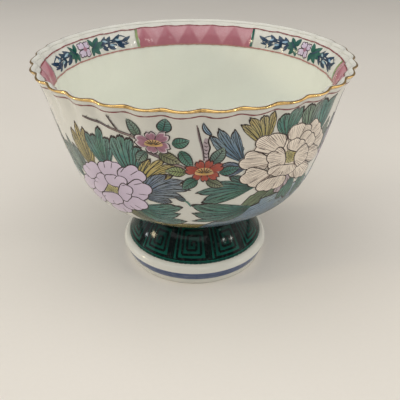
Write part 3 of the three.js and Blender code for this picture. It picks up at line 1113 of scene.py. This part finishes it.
def fret_black(name, rgb):
    """The fret's black, under the same wet gloss as the green round it."""
    finish = Finish(name, Roughness=0.06, IOR=1.33, Specular_IOR_Level=0.3)
    ink = finish.noise(500, 3, 0.6)
    finish.drive("Base Color", finish.mix(ink.between(0.45, 0.75), rgb, lighter(rgb, 0.02)))
    finish.drive("Roughness", ink * 0.05 + 0.085)
    return finish


KINDS = {
    **dict.fromkeys(("teal", "green", "olive", "moss", "ochre", "blue", "steel", "indigo", "strap", "bark",
                     "navy", "sky", "deep_green", "stamen", "eye"), leaf_enamel),
    **dict.fromkeys(("lavender", "ivory", "rose", "red", "mauve"), petal_enamel),
    **dict.fromkeys(("outline", "vein", "hatch", "maroon", "frieze_line"), drawn_line),
    "fret": fret_black,
}


# The bouquet: one third of the way round the bowl, drawn with x from about -75 to 75 and d down from the
# lip. Every table is in painting order, with what lies behind first.

# Broad leaves that sweep up from the foot: enamel, base, tip, width, bow, teeth, tone
STRAPS = (
    ("green", (-78, 103), (-66, 66), 20, 0.10, 3, 0.6), ("olive", (-56, 103), (-50, 72), 18, -0.08, 2, 0.5),
    ("green", (-36, 103), (-32, 70), 17, 0.06, 3, 0.4), ("strap", (-20, 103), (-12, 78), 15, 0.05, 2, 0.5),
    ("indigo", (62, 103), (76, 66), 18, 0.08, 3, 0.6), ("green", (40, 103), (50, 76), 17, 0.06, 2, 0.4),
    ("olive", (-36, 62), (-12, 80), 10, -0.05, 2, 0.5), ("green", (-32, 57), (-7, 74), 11, -0.08, 2, 0.8),
    ("ochre", (18, 74.5), (-24, 70.5), 8.5, 0.0, 0, 0.7), ("green", (43, 46), (22, 61), 9, 0.05, 2, 0.9),
    ("green", (47, 46), (34, 63), 9, 0.05, 2, 0.8), ("steel", (4, 78.5), (76, 56), 23, -0.06, 4, 0.6),
)

# Leaves with several lobes: enamel, base, tips, tone, curl, how pointed, spread past the outer tips
FANS = (
    ("teal", (-66, 52), ((-86, 42), (-80, 32)), 0.5, 0, 1, 0.5),
    ("green", (-56, 48), ((-74, 32.5), (-69, 27), (-64.5, 30)), 0.45, 0.1, 0.8, 0.5),
    ("ochre", (-51.5, 41), ((-59, 20), (-54.5, 15.5), (-50, 17)), 0.6, 0.1, 0.9, 0.5),
    ("teal", (-41, 39), ((-48.5, 18.8), (-44, 18.6), (-40.2, 14.2), (-36.2, 18.8)), 0.5, 0.1, 0.1, 0.32),
    ("teal", (-27.5, 41), ((-33.4, 17), (-29.5, 15.6), (-25.4, 16.6), (-21.8, 20.4)), 0.5, 0.1, 0.0, 0.3),
    ("ochre", (-25.5, 43.5), ((-17.5, 26), (-11.5, 25.2), (-6.5, 28.6), (-8.5, 34.5)), 0.7, 0.2, 0.7, 0.3),
    ("teal", (-30, 57), ((-5, 53.8), (-6.4, 58.3), (-3.3, 64.7)), 0.4, -0.3, 0.8, 0.5),
    ("indigo", (-25, 49.5), ((-11, 34), (-3.5, 37), (-1, 42.5), (-4.5, 47), (-10, 50.5)), 0.5, 0.3, 0.7, 0.4),
    ("teal", (41, 21), ((36.5, 6.5), (41.5, 4.2), (46, 5.8)), 0.45, 0.1, 0.3, 0.5),
    ("green", (53, 21), ((49.5, 5), (55, 4.6)), 0.6, 0, 0.5, 0.5),
    ("teal", (64, 28), ((60, 6), (68, 5.5)), 0.5, 0.1, 0.5, 0.5),
    ("green", (68, 44), ((74, 20), (79, 27)), 0.5, 0.1, 0.7, 0.5),
    ("ochre", (30, 22.5), ((18.6, 9.6), (21.4, 5.6), (26.5, 5), (31.6, 4.6)), 0.6, -0.15, 0.6, 0.25),
    ("indigo", (24, 32), ((12, 28.6), (11.5, 33)), 0.2, 0.1, 0.6, 0.5),
    ("blue", (22.4, 29.5), ((6.6, 13.4), (9.8, 9.8), (16.4, 11.4)), 0.5, 0.1, 0.7, 0.22),
    ("teal", (31, 57), ((12, 66), (-0.7, 64.4), (-0.6, 57.6), (-1, 52.1)), 0.1, 0.25, 0.8, 0.4),
    ("teal", (30, 44.5), ((16, 35.8), (9.5, 38.6), (1.2, 44.3), (4, 50.4)), 0.15, -0.15, 0.8, 0.4),
    ("teal", (54, 44), ((47, 58), (54, 60)), 0.5, 0.1, 0.7, 0.5),
    ("teal", (63, 46), ((62, 62), (71, 60)), 0.4, 0.1, 0.7, 0.5),
)

# Small ribbed leaves of the camellias: enamel, base, tip, width, tone
SPRIGS = (
    ("green", (-21.4, 15.8), (-25.3, 7.6), 4.8, 0.5), ("teal", (-11.6, 12.6), (-9.7, 5.6), 5.6, 0.5),
    ("teal", (-8, 17.8), (-1, 15.6), 5.2, 0.5), ("green", (-19, 22.5), (-23.6, 29), 5, 0.6),
    ("olive", (-13.5, 22.8), (-4.8, 27), 5.6, 0.4), ("teal", (-4.8, 21), (0.2, 29.4), 5, 0.45),
    ("moss", (-2.8, 32.6), (-11.6, 31.8), 5.4, 0.6), ("green", (8, 27.6), (12.8, 19.6), 5.8, 0.6),
    ("teal", (11.5, 32.8), (20.2, 31), 5, 0.4), ("teal", (2, 36), (-4.6, 42), 5.6, 0.2),
    ("olive", (6, 36.5), (14, 41), 4.8, 0.4),
)

# Petals: x, d, width, height, tilt
LAVENDER_OUTER = (
    (-57, 59, 20, 9.5, -0.6), (-62.5, 52.5, 20, 8.5, -0.6), (-55, 42.5, 18, 8.4, -0.57),
    (-39.5, 36.6, 15.5, 9.4, -0.36), (-28.3, 37.6, 14.6, 11, -0.54), (-26.5, 46, 15.4, 11, -0.78),
    (-43, 63, 17, 8.4, -0.4), (-31, 55.5, 15.6, 9, -0.26),
)
LAVENDER_INNER = (
    (-51, 48.9, 18, 7.4, -0.83), (-38, 43, 14, 7.2, -0.2), (-34.5, 49, 12.8, 7.4, -1.05),
    (-46, 56.8, 16.3, 8, -0.33),
)
IVORY_OUTER = (
    (68, 29.5, 17, 7.4, 0.75), (66, 37, 18, 8.6, 0.52), (60, 21, 14.9, 6.6, 0.71),
    (48.5, 19.3, 14.9, 8.4, 0.33), (56.5, 25.4, 15.4, 6.9, 0.61), (59, 43.6, 20, 9.6, 0.45),
    (33, 21.8, 15.6, 11.2, 0.08), (27, 29.8, 15, 10.4, 0.63), (28.8, 38.6, 15.6, 10, 0.5),
)
IVORY_INNER = (
    (48.8, 26, 13, 6.4, 0.45), (38.3, 31, 14, 9.4, 1.12), (55.5, 34, 13, 9.6, 0.97),
    (44.2, 38.6, 19, 6.4, 0.24), (39.5, 45, 17.4, 8, 0.07),
)
# Petals of a camellia: direction in degrees and reach, going round
ROSE_PETALS = ((-178, 8.6), (-98, 6.1), (-38, 8.0), (24, 7.6), (108, 6.0))
RED_PETALS = ((-178, 8.8), (-115, 6.4), (-62, 6.8), (-18, 9.0), (32, 7.8), (88, 6.2), (136, 6.6))

# Leaves of half a spray of the frieze: x out from its middle, v down from it, the same of the tip, width
NAVY_LEAVES = (
    (12, 0.6, 17.6, -4, 2.6), (13.5, 0.2, 17.8, 4.2, 2.4), (16.5, 0, 21.5, -3.8, 2.6),
    (18, 0.4, 23.6, 4.2, 2.6), (21.5, 0, 27.4, -3.8, 2.3), (25, 0.4, 29.5, 4.4, 2.2),
    (28, 0.4, 34.5, -2, 2), (24, 0.2, 33, 2.2, 1.8),
)
SKY_LEAVES = ((14.5, -1.6, 18.5, -0.6, 1.1), (19.5, 1.2, 23, 2.2, 1.1), (24, -1.2, 27, -0.2, 1.1))
GREEN_LEAVES = tuple((7.4, 0, *tip) for tip in (
    (12.6, -4.6, 3), (14.6, -1.4, 2.6), (14, 1.8, 2.6), (11.4, 5, 2.8), (6, 5.2, 2.6), (5.6, -4.9, 2.6)))
# The spray's flower: x, v, width and height of each petal
SPRAY_PETALS = ((-2.3, -2, 5, 4.2), (2, -2.4, 4.6, 4), (-1.8, 2.2, 4.4, 4.6), (2.4, 1.8, 5, 4.2))

# The path of the fret's spiral: x in halves of its width, and how far down its height
SPIRAL = (
    (-1, 0), (-1, 1), (1, 1), (1, 0.12), (-0.66, 0.12), (-0.66, 0.86), (0.66, 0.86), (0.66, 0.28),
    (-0.33, 0.28), (-0.33, 0.72), (0.33, 0.72), (0.33, 0.46), (0, 0.46), (0, 0.6),
)


def peony(pots, fill, outer, inner, middle, heart, hatch=0.0):
    """A full peony: outer petals, the stamens, and the inner petals that close over them."""
    for x, d, width, height, tilt in outer:
        petal(pots, fill, (x, d), (width, height), middle, tilt, hatch=hatch)
    core(pots, *heart)
    for x, d, width, height, tilt in inner:
        petal(pots, fill, (x, d), (width, height), middle, tilt, hatch=hatch * 1.2, tone=0.65)


def bouquet(pots):
    """Broad leaves from the foot, fanned leaves, twigs and buds, and the four flowers over them."""
    for fill, base, tip, width, bow, teeth, tone in STRAPS:
        leaf(pots, fill, base, tip, width, bow, teeth, tone=tone, blunt=0.55)
    for fill, base, tips, tone, curl, pointed, spread in FANS:
        fan(pots, fill, base, tips, tone, curl, pointed, spread)
    leaf(pots, "sky", (7.6, 13.4), (4.3, 7.4), 2.3, -0.28)
    twig(pots, [(-46.5, 10.3), (-39, 12), (-32, 13.4), (-25, 15.6), (-22, 17)], 0.8)
    twig(pots, [(-33, 6.2), (-31.8, 9.8), (-30, 13.4)], 0.7)
    twig(pots, [(-18.5, 22.5), (-14, 24.5), (-8, 27.8), (-3, 30)], 1.3)
    pots.line([(5.6, 15), (5.3, 19), (5.7, 23), (5.5, 26)], 2.6, 0.5, "mauve")
    pots.line([(1.8, 8.4), (2.7, 14.3), (4.1, 21), (4.6, 26)], 0.8, 0.6, "bark")
    pots.line([(2.2, 9.6), (3.1, 14.3), (4.4, 21), (4.8, 26)], 0.5)
    pots.line([(6.9, 13.6), (6.3, 16.4), (7, 19.4), (6.5, 22.4), (6.8, 26)], 0.7, 0.4)
    for d in (16.6, 18.4, 20.2, 22, 23.8):
        pots.line([(4.6 + (d - 16.6) * 0.03, d), (5.6, d + 0.7), (6.3, d + 0.2)], 0.45, 0.8)
    leaf(pots, "blue", (-3.4, 49.6), (-9, 46.8), 2.6, 0.1)
    pots.line([(-4.4, 49), (-2.6, 50.2), (-1, 53)], 0.9, 0.6, "teal")
    for fill, base, tip, width, tone in SPRIGS:
        leaf(pots, fill, base, tip, width, 0.08, ribs=True, tone=tone)
    petal(pots, "mauve", (48, 45.8), (8, 8), (47, 38), 0.3, hatch=0.3)
    petal(pots, "mauve", (45.6, 49.8), (5.6, 6), (47, 42), 0.2, hatch=0.3)
    pool(pots, "lavender", (-44.5, 49.5), (30, 17), -0.4)
    peony(pots, "lavender", LAVENDER_OUTER, LAVENDER_INNER, (-44.5, 49.5), ((-44, 50.6), (12.5, 6.2), -0.45))
    pool(pots, "ivory", (46, 31), (32, 18), 0.3)
    peony(pots, "ivory", IVORY_OUTER, IVORY_INNER, (46.5, 32), ((46.8, 31.4), (12, 7.4), 0.4), hatch=0.42)
    camellia(pots, "rose", ROSE_PETALS, (-15.4, 17.6, 7.6, 3.4), tone=1.0)
    camellia(pots, "red", RED_PETALS, (4.9, 31.6, 8.0, 4.0))


def frieze_spray(pots, middle):
    """A small flower between dark leaves, with leafy vines running out to both ends of a white panel."""
    for side in (-1, 1):
        def at(x, v):
            return (side * x, middle + v)

        for reach in (-2.2, 0.2, 2.4):
            bends = ((12, 0.4), (17, 1), (22, 0.5), (27, 1.3), (32, 0.4))
            pots.line([at(x, reach * share) for x, share in bends], 0.9, 0.5, "navy")
        for fill, leaves, bow in (("navy", NAVY_LEAVES, 0.15), ("sky", SKY_LEAVES, 0.0),
                                  ("deep_green", GREEN_LEAVES, 0.06)):
            for x, v, tip_x, tip_v, width in leaves:
                leaf(pots, fill, at(x, v), at(tip_x, tip_v), width, bow * side, drawn=False)
        pots.line([at(6.4, 1.2), at(8.4, 0), at(11.5, -2.4)], 0.7, 0.5, "navy")
    for x, v, width, height in SPRAY_PETALS:
        petal(pots, "lavender", (x, middle + v), (width, height), (0, middle))
    pool(pots, "rose", (0, middle), (2.6, 2.4))


def fret(pots, top, base):
    """One panel of the key fret: a square spiral and upright bars, sized to the height of the bell."""
    half, tall, step = 15.6, base - top, 1.2
    corners = [(x * half, top + tall * down) for x, down in SPIRAL]
    for ends in zip(corners, corners[1:]):
        pots["fret"].stroke(ends, 1.25, 1, step=step)
    for x in (17.6, 19.4, 21.2):
        pots["fret"].stroke([(x, top), (x, base + 0.4)], 0.8, 1, step=step)


# Operators, in the order in which main calls them


def sizes(context):
    return context.scene.bowl_sizes, context.scene.foot_sizes


class BOWL_OT_porcelain(Operator):
    """Throws the bowl from foot seat to lip, presses its flutes and glazes it"""
    bl_idname = "bowl.porcelain"
    bl_label = "Throw the bowl"

    def execute(self, context):
        bowl, foot = sizes(context)
        top = lip_height(bowl, foot)
        seat = top - bowl.gilt_height
        outer, inner = outer_section(bowl, foot), inner_section(bowl, foot)
        up, down = [[p for p in line if p.y < seat - 0.8 * MM]
                    + [at_height(line, z) for z in (seat - 0.3 * MM, seat)] for line in (outer, inner)]
        under, well, frieze_floor = outer[0].y, inner[0].y, top - bowl.frieze_floor
        section = [Vector((3 * MM, under)), Vector((14 * MM, under))] + swelled(up) + swelled(down)[::-1]
        section += [Vector((14 * MM, well - 0.25 * MM)), Vector((3 * MM, well - 0.3 * MM))]
        piece = thrown("bowl_porcelain", section, bowl.flutes * 4, bowl.flute_turn)
        press_flutes(piece, bowl, section, top)
        smoothed(piece, 2)
        # Marks the inside below the frieze, which its finish paints lighter, as lit, and greener
        deep = []
        for vertex in piece.data.vertices:
            radius, z = hypot(vertex.co.x, vertex.co.y), vertex.co.z
            between = (at_height(outer, z).x + at_height(inner, z).x) / 2
            inside = z > well - 0.4 * MM and radius < between
            deep.append(clamped((frieze_floor + 0.6 * MM - z) / MM) if inside else 0.0)
        add_values(piece, "inside", deep)
        dress(piece, porcelain("Bowl glaze", context.scene.glaze_colours), "bowl_body", slot="porcelain")
        return {"FINISHED"}


class BOWL_OT_gilding(Operator):
    """Lays the gold on the lip, over the ripple of the flutes"""
    bl_idname = "bowl.gilding"
    bl_label = "Gild the lip"

    def execute(self, context):
        bowl, foot = sizes(context)
        top = lip_height(bowl, foot)
        seat = top - bowl.gilt_height
        outer, inner = outer_section(bowl, foot, 3), inner_section(bowl, foot, 3)
        out, back = [[at_height(line, seat + h * MM) for h in (-0.15, 0.25, 0.75)] for line in (outer, inner)]
        proud, above = Vector((0.03 * MM, 0)), top + 0.02 * MM
        crown = (out[2].x - back[2].x) * 0.26
        section = [p + proud for p in out]
        section += [Vector((out[2].x - crown, above)), Vector((back[2].x + crown, above))]
        section += [p - proud for p in back[::-1]]
        piece = thrown("gold_lip", section, bowl.flutes * 4, bowl.flute_turn, closed=True)
        middle = (out[2].x + back[2].x) / 2
        add_values(piece, "gilt", [clamped((hypot(v.co.x, v.co.y) - middle) / crown + 0.5)
                                   for v in piece.data.vertices])
        press_flutes(piece, bowl, section, top)
        ripple_edge(piece, bowl, seat + 0.5 * MM)
        smoothed(piece, 2)
        dress(piece, gilding("Lip gold", context.scene.glaze_colours), "gilt_lip", slot="gilding")
        return {"FINISHED"}


class BOWL_OT_foot(Operator):
    """Turns the hollow pedestal foot and the ring of slip that joins it to the bowl"""
    bl_idname = "bowl.foot"
    bl_label = "Turn the foot"

    def execute(self, context):
        foot, colours = context.scene.foot_sizes, context.scene.glaze_colours
        sunk = foot.enamel + foot.play
        inward = Vector((-sunk, 0))
        bell = moved(bell_section(foot, 8), [sunk] * 9)
        bell[0] = Vector((foot.shoulder / 2 - sunk, foot.shoulder_height))
        bell[-1] = Vector((foot.neck / 2 - sunk, foot.height))
        shoulder = bend((foot.plinth / 2, foot.band_ceiling), leaning(0), 1.8,
                        (foot.shoulder / 2, foot.shoulder_height), leaning(-pi / 2), 1.8, 5)
        low, high = plinth_at(foot, foot.band_floor), plinth_at(foot, foot.band_ceiling)
        plain = [Vector((foot.footing / 2, 0)), low, high] + bell
        inside = moved(plain, [foot.wall] * len(plain))
        inside[0] = Vector((foot.footing / 2 - foot.wall, 0))
        inside[-1] = bell[-1] - Vector((foot.wall, 0))
        round_foot = [Vector((foot.footing / 2 - 0.9 * MM, 0)),
                      plinth_at(foot, 0.15 * MM), plinth_at(foot, 1.2 * MM)]
        section = round_foot + [low, low + inward, high + inward] + shoulder + bell + inside[::-1]
        piece = thrown("pedestal", section, 64, closed=True)
        crease(piece, [low, low + inward, high + inward, shoulder[0], shoulder[-1], bell[0], bell[-1],
                       inside[-1], inside[0], section[0]])
        smoothed(piece, 2)
        dress(piece, porcelain("Foot glaze", colours, False), "pedestal_foot", slot="foot_porcelain")

        out = foot.neck / 2 - sunk
        base, seat = foot.height, seat_height(foot)
        ring = [Vector((out - foot.wall, base)), Vector((out, base)),
                Vector((out + 0.12 * MM, base + foot.slip / 2)),
                Vector((out, seat)), Vector((out - foot.wall, seat))]
        slip = thrown("slip_ring", ring, 64, closed=True)
        crease(slip, [ring[0], ring[1], ring[3], ring[4]])
        smoothed(slip, 2)
        dress(slip, bare_slip("Slip", colours), "luting_slip", slot="luting_slip")
        return {"FINISHED"}


class BOWL_OT_foot_enamels(Operator):
    """Floods the bell of the foot with green and lays the blue band round the plinth"""
    bl_idname = "bowl.foot_enamels"
    bl_label = "Enamel the foot"

    def execute(self, context):
        foot, colours = context.scene.foot_sizes, context.scene.glaze_colours
        line = bell_section(foot)
        ceiling = foot.height - 0.8 * MM
        out = [p for p in line if p.y < ceiling - 0.4 * MM] + [at_height(line, ceiling)]
        back = moved(line, [foot.enamel] * len(line))
        behind = [at_height(back, max(p.y, foot.shoulder_height)) for p in out]
        lip = [out[0] + Vector((-0.05, 0.02)) * MM, out[0] + Vector((0.16, 0.5)) * MM]
        section = lip + out[1:] + behind[::-1]
        bell = thrown("green_bell", section, 64, closed=True)
        crease(bell, [section[0], out[-1], behind[-1], behind[0]])
        smoothed(bell, 2)
        dress(bell, bell_green("Foot green", colours), "green_foot_enamel", slot="green_enamel")

        low, high = plinth_at(foot, foot.band_floor), plinth_at(foot, foot.band_ceiling)
        thick, soft = Vector((-foot.enamel, 0)), 0.25 * MM
        section = [low + thick, low + Vector((-soft, 0)), plinth_at(foot, foot.band_floor + soft),
                   plinth_at(foot, (foot.band_floor + foot.band_ceiling) / 2),
                   plinth_at(foot, foot.band_ceiling - soft), high + Vector((-soft, 0)), high + thick]
        band = thrown("blue_band", section, 96, closed=True)
        crease(band, [section[0], section[-1]])
        smoothed(band, 1)
        dress(band, cobalt("Cobalt band", colours), "cobalt_foot_band", slot="cobalt_blue")
        return {"FINISHED"}


class BOWL_OT_key_fret(Operator):
    """Draws the black key fret round the green bell"""
    bl_idname = "bowl.key_fret"
    bl_label = "Draw the key fret"

    def execute(self, context):
        foot = context.scene.foot_sizes
        line = [p for p in bell_section(foot, 24) if p.y < foot.height - 1.0 * MM]
        wall = Wall(bpy.data.objects["green_bell"], line[::-1], 1)
        pots = Palette("fret", wall, context)
        panels, reach = 11, wall.down[-1]
        for number in range(panels):
            wall.carry((number / panels - 2.2 / 360) * 2 * pi * AROUND)
            fret(pots, 1.5, reach - 2.6)
        wall.carry(0.0)
        for d, width in ((0.9, 0.7), (reach - 2.0, 0.6), (reach - 0.55, 1.0)):
            pots["fret"].ring(d, width, 1, 0.05)
        pots.finished()
        return {"FINISHED"}


class BOWL_OT_pink_panels(Operator):
    """Lays the three pink panels inside the lip, over the flutes"""
    bl_idname = "bowl.pink_panels"
    bl_label = "Lay the pink panels"

    def execute(self, context):
        bowl, foot = sizes(context)
        wall = Wall(bpy.data.objects["bowl_porcelain"], inner_section(bowl, foot, 4)[::-1], -1)
        top = lip_height(bowl, foot)
        high, low = frieze_edges(wall, bowl, top)
        finish = panel_pink("Panel rose", context.scene.glaze_colours)
        for number in range(3):
            middle = pi + number * 2 * pi / 3
            bpy.ops.object.select_all(action="DESELECT")
            bpy.ops.mesh.primitive_grid_add(x_subdivisions=96, y_subdivisions=14, size=1, location=(0, 0, 0))
            piece = bpy.context.object
            piece.name = piece.data.name = f"rose_panel_{number + 1}"
            wall.carry(middle * AROUND)
            deep = []
            for vertex in piece.data.vertices:
                slant, up = 0.5 * sin(vertex.co.y * 9), vertex.co.y + 0.5
                x = -vertex.co.x * PANEL * AROUND + slant
                vertex.co = wall.lay(x, low + up * (high - low), 0.22 * MM)
                # A triangle in each flute, narrowing downwards, which the finish paints darker as the flutes'
                # shade
                angle = atan2(vertex.co.y, vertex.co.x) + pi / 2 - bowl.flute_turn
                off = abs((bowl.flutes * angle / (2 * pi) + 0.5) % 1 - 0.5)
                deep.append(clamped((0.5 * (1.04 - up) - off) / 0.10 + 0.5))
            add_values(piece, "wash", deep)
            only(piece)
            with editing():
                bpy.ops.mesh.select_all(action="SELECT")
                bpy.ops.mesh.normals_make_consistent(inside=False)
            middle_face = piece.data.polygons[len(piece.data.polygons) // 2]
            if middle_face.normal.dot(Vector((middle_face.center.x, middle_face.center.y, 0))) > 0:
                piece.data.flip_normals()
            film = piece.modifiers.new("Film", "SOLIDIFY")
            film.thickness, film.offset = 0.2 * MM, -1
            bpy.ops.object.modifier_apply(modifier=film.name)
            bpy.ops.object.shade_smooth_by_angle(angle=SHARP)
            dress(piece, finish, f"pink_panel_{number + 1}", slot="pink_enamel")
        return {"FINISHED"}


class BOWL_OT_frieze(Operator):
    """Draws the lines and sprays of the frieze inside the lip and the line outside it"""
    bl_idname = "bowl.frieze"
    bl_label = "Paint the frieze"

    def execute(self, context):
        bowl, foot = sizes(context)
        wall = Wall(bpy.data.objects["bowl_porcelain"], inner_section(bowl, foot, 4)[::-1], -1)
        pots = Palette("frieze", wall, context)
        top = lip_height(bowl, foot)
        high, low = frieze_edges(wall, bowl, top)
        pots["maroon"].ring(high - 0.15, 0.6, 12, 0.1)
        pots["frieze_line"].ring(low + 0.25, 0.75, 12, 0.1)
        for number in range(3):
            wall.carry((0, -THIRD, THIRD)[number])
            frieze_spray(pots, (high + low) / 2)
        for number in range(3):
            wall.carry(AROUND * pi + number * THIRD)
            for side, name in ((-1, "deep_green"), (1, "moss")):
                x = side * PANEL / 2 * AROUND
                bar = [(x + side * 0.5, high), (x + side * 1.1, (high + low) / 2), (x + side * 0.5, low)]
                pots[name].stroke(bar, 1.5, 11)
        pots.finished()
        return {"FINISHED"}


class BOWL_OT_bouquets(Operator):
    """Paints three bouquets round the outside, and the line below the gilding"""
    bl_idname = "bowl.bouquets"
    bl_label = "Paint the bouquets"

    def execute(self, context):
        bowl, foot = sizes(context)
        wall = Wall(bpy.data.objects["bowl_porcelain"], outer_section(bowl, foot, 4)[::-1], 1)
        pots = Palette("bouquet", wall, context)
        second = {"lavender": "ivory", "ivory": "lavender", "blue": "teal", "teal": "green", "green": "blue"}
        third = {"rose": "red", "red": "rose", "ochre": "olive", "olive": "ochre", "teal": "blue",
                 "blue": "teal"}
        for shift, mirror, swap in ((0, 1, {}), (THIRD + 3, -1, second), (2 * THIRD - 8, 1, third)):
            wall.carry(shift, mirror)
            pots.swap = swap
            bouquet(pots)
        pots.swap = {}
        wall.carry(0.0)
        pots["maroon"].ring(4.1, 0.66, 2, 0.1, -0.25)
        pots.finished()
        return {"FINISHED"}


# Small lamps that leave glints on the glaze: name, place, breadth and tint
GLINTS = (
    ("glint_left", (-0.95, -0.15, 0.33), 0.11, (1.0, 0.84, 0.55)),
    ("glint_low", (-1.0, 0.06, 0.16), 0.05, (0.95, 0.97, 1.0)),
    ("glint_right", (0.77, -0.52, 0.44), 0.07, (1.0, 0.97, 0.90)),
    ("glint_side", (0.90, -0.33, 0.35), 0.06, (1.0, 0.95, 0.86)),
)


class BOWL_OT_stage(Operator):
    """Sets the pale floor, the lamps, the surround and the camera"""
    bl_idname = "bowl.stage"
    bl_label = "Set the stage"

    def execute(self, context):
        stage = context.scene.stage_settings
        bpy.ops.object.select_all(action="DESELECT")
        bpy.ops.mesh.primitive_plane_add(size=9, location=(0, 0, 0))
        floor = bpy.context.object
        floor.name = "floor"
        finish = Finish("Pale table", Roughness=0.6)
        cloud = finish.noise(6, 3)
        grain = finish.noise(500, 3)
        finish.drive("Base Color", finish.mix((cloud * 0.7 + grain * 0.3).between(0.3, 0.7),
                                              lighter(stage.floor, -0.02), lighter(stage.floor, 0.03)))
        floor.data.materials.append(finish.material)

        lamps = [("overhead", (-0.10, -0.38, 1.15), 1.5, (1.0, 0.99, 0.97), stage.overhead),
                 ("key", (-0.98, 0.08, 0.60), 1.1, (0.95, 0.97, 1.0), stage.key),
                 ("fill", (0.98, 0.05, 0.60), 1.1, (1.0, 0.95, 0.88), stage.fill)]
        lamps += [(*glint, stage.glint * glint[2] ** 2) for glint in GLINTS]
        for name, place, breadth, tint, power in lamps:
            way = Vector((0, 0, 0.07)) - Vector(place)
            bpy.ops.object.light_add(type="AREA", location=place,
                                     rotation=way.to_track_quat("-Z", "Y").to_euler())
            lamp = bpy.context.object
            lamp.name, lamp.data.size, lamp.data.energy, lamp.data.color = name, breadth, power, tint

        world = bpy.data.worlds.new("surround")
        context.scene.world = world
        world.use_nodes = True
        surround = world.node_tree.nodes["Background"]
        surround.inputs["Color"].default_value = (1.0, 0.985, 0.96, 1.0)
        surround.inputs["Strength"].default_value = stage.sky

        bpy.ops.object.camera_add(location=(0.0031, -0.271, 0.1905), rotation=(pi / 2 - 0.5325, 0, 0))
        camera = bpy.context.object
        camera.name = "camera"
        camera.data.lens, camera.data.clip_start = 48.6, 0.01
        context.scene.camera = camera
        context.scene.view_settings.view_transform = "Standard"
        return {"FINISHED"}


STEPS = (BOWL_OT_porcelain, BOWL_OT_gilding, BOWL_OT_foot, BOWL_OT_foot_enamels, BOWL_OT_key_fret,
         BOWL_OT_pink_panels, BOWL_OT_frieze, BOWL_OT_bouquets, BOWL_OT_stage)
GROUPS = {"bowl_sizes": BowlSizes, "foot_sizes": FootSizes, "paint_sizes": PaintSizes,
          "glaze_colours": GlazeColours, "stage_settings": StageSettings}


class BOWL_PT_making(Panel):
    """The steps of making the bowl, and its sizes and colours"""
    bl_label = "Porcelain bowl"
    bl_idname = "BOWL_PT_making"
    bl_space_type = "VIEW_3D"
    bl_region_type = "UI"
    bl_category = "Bowl"

    def draw(self, context):
        for step in STEPS:
            self.layout.operator(step.bl_idname)
        for name, group in GROUPS.items():
            box = self.layout.box()
            box.label(text=name.replace("_", " ").capitalize())
            for key in group.__annotations__:
                box.prop(getattr(context.scene, name), key)


def register():
    for group in GROUPS.values():
        bpy.utils.register_class(group)
    for name, group in GROUPS.items():
        setattr(bpy.types.Scene, name, PointerProperty(type=group))
    for step in STEPS + (BOWL_PT_making,):
        bpy.utils.register_class(step)


def unregister():
    for step in (BOWL_PT_making,) + STEPS[::-1]:
        bpy.utils.unregister_class(step)
    for name in GROUPS:
        delattr(bpy.types.Scene, name)
    for group in reversed(GROUPS.values()):
        bpy.utils.unregister_class(group)


def main():
    register()
    bpy.ops.bowl.porcelain()
    bpy.ops.bowl.gilding()
    bpy.ops.bowl.foot()
    bpy.ops.bowl.foot_enamels()
    bpy.ops.bowl.key_fret()
    bpy.ops.bowl.pink_panels()
    bpy.ops.bowl.frieze()
    bpy.ops.bowl.bouquets()
    bpy.ops.bowl.stage()


if __name__ == "__main__":
    main()
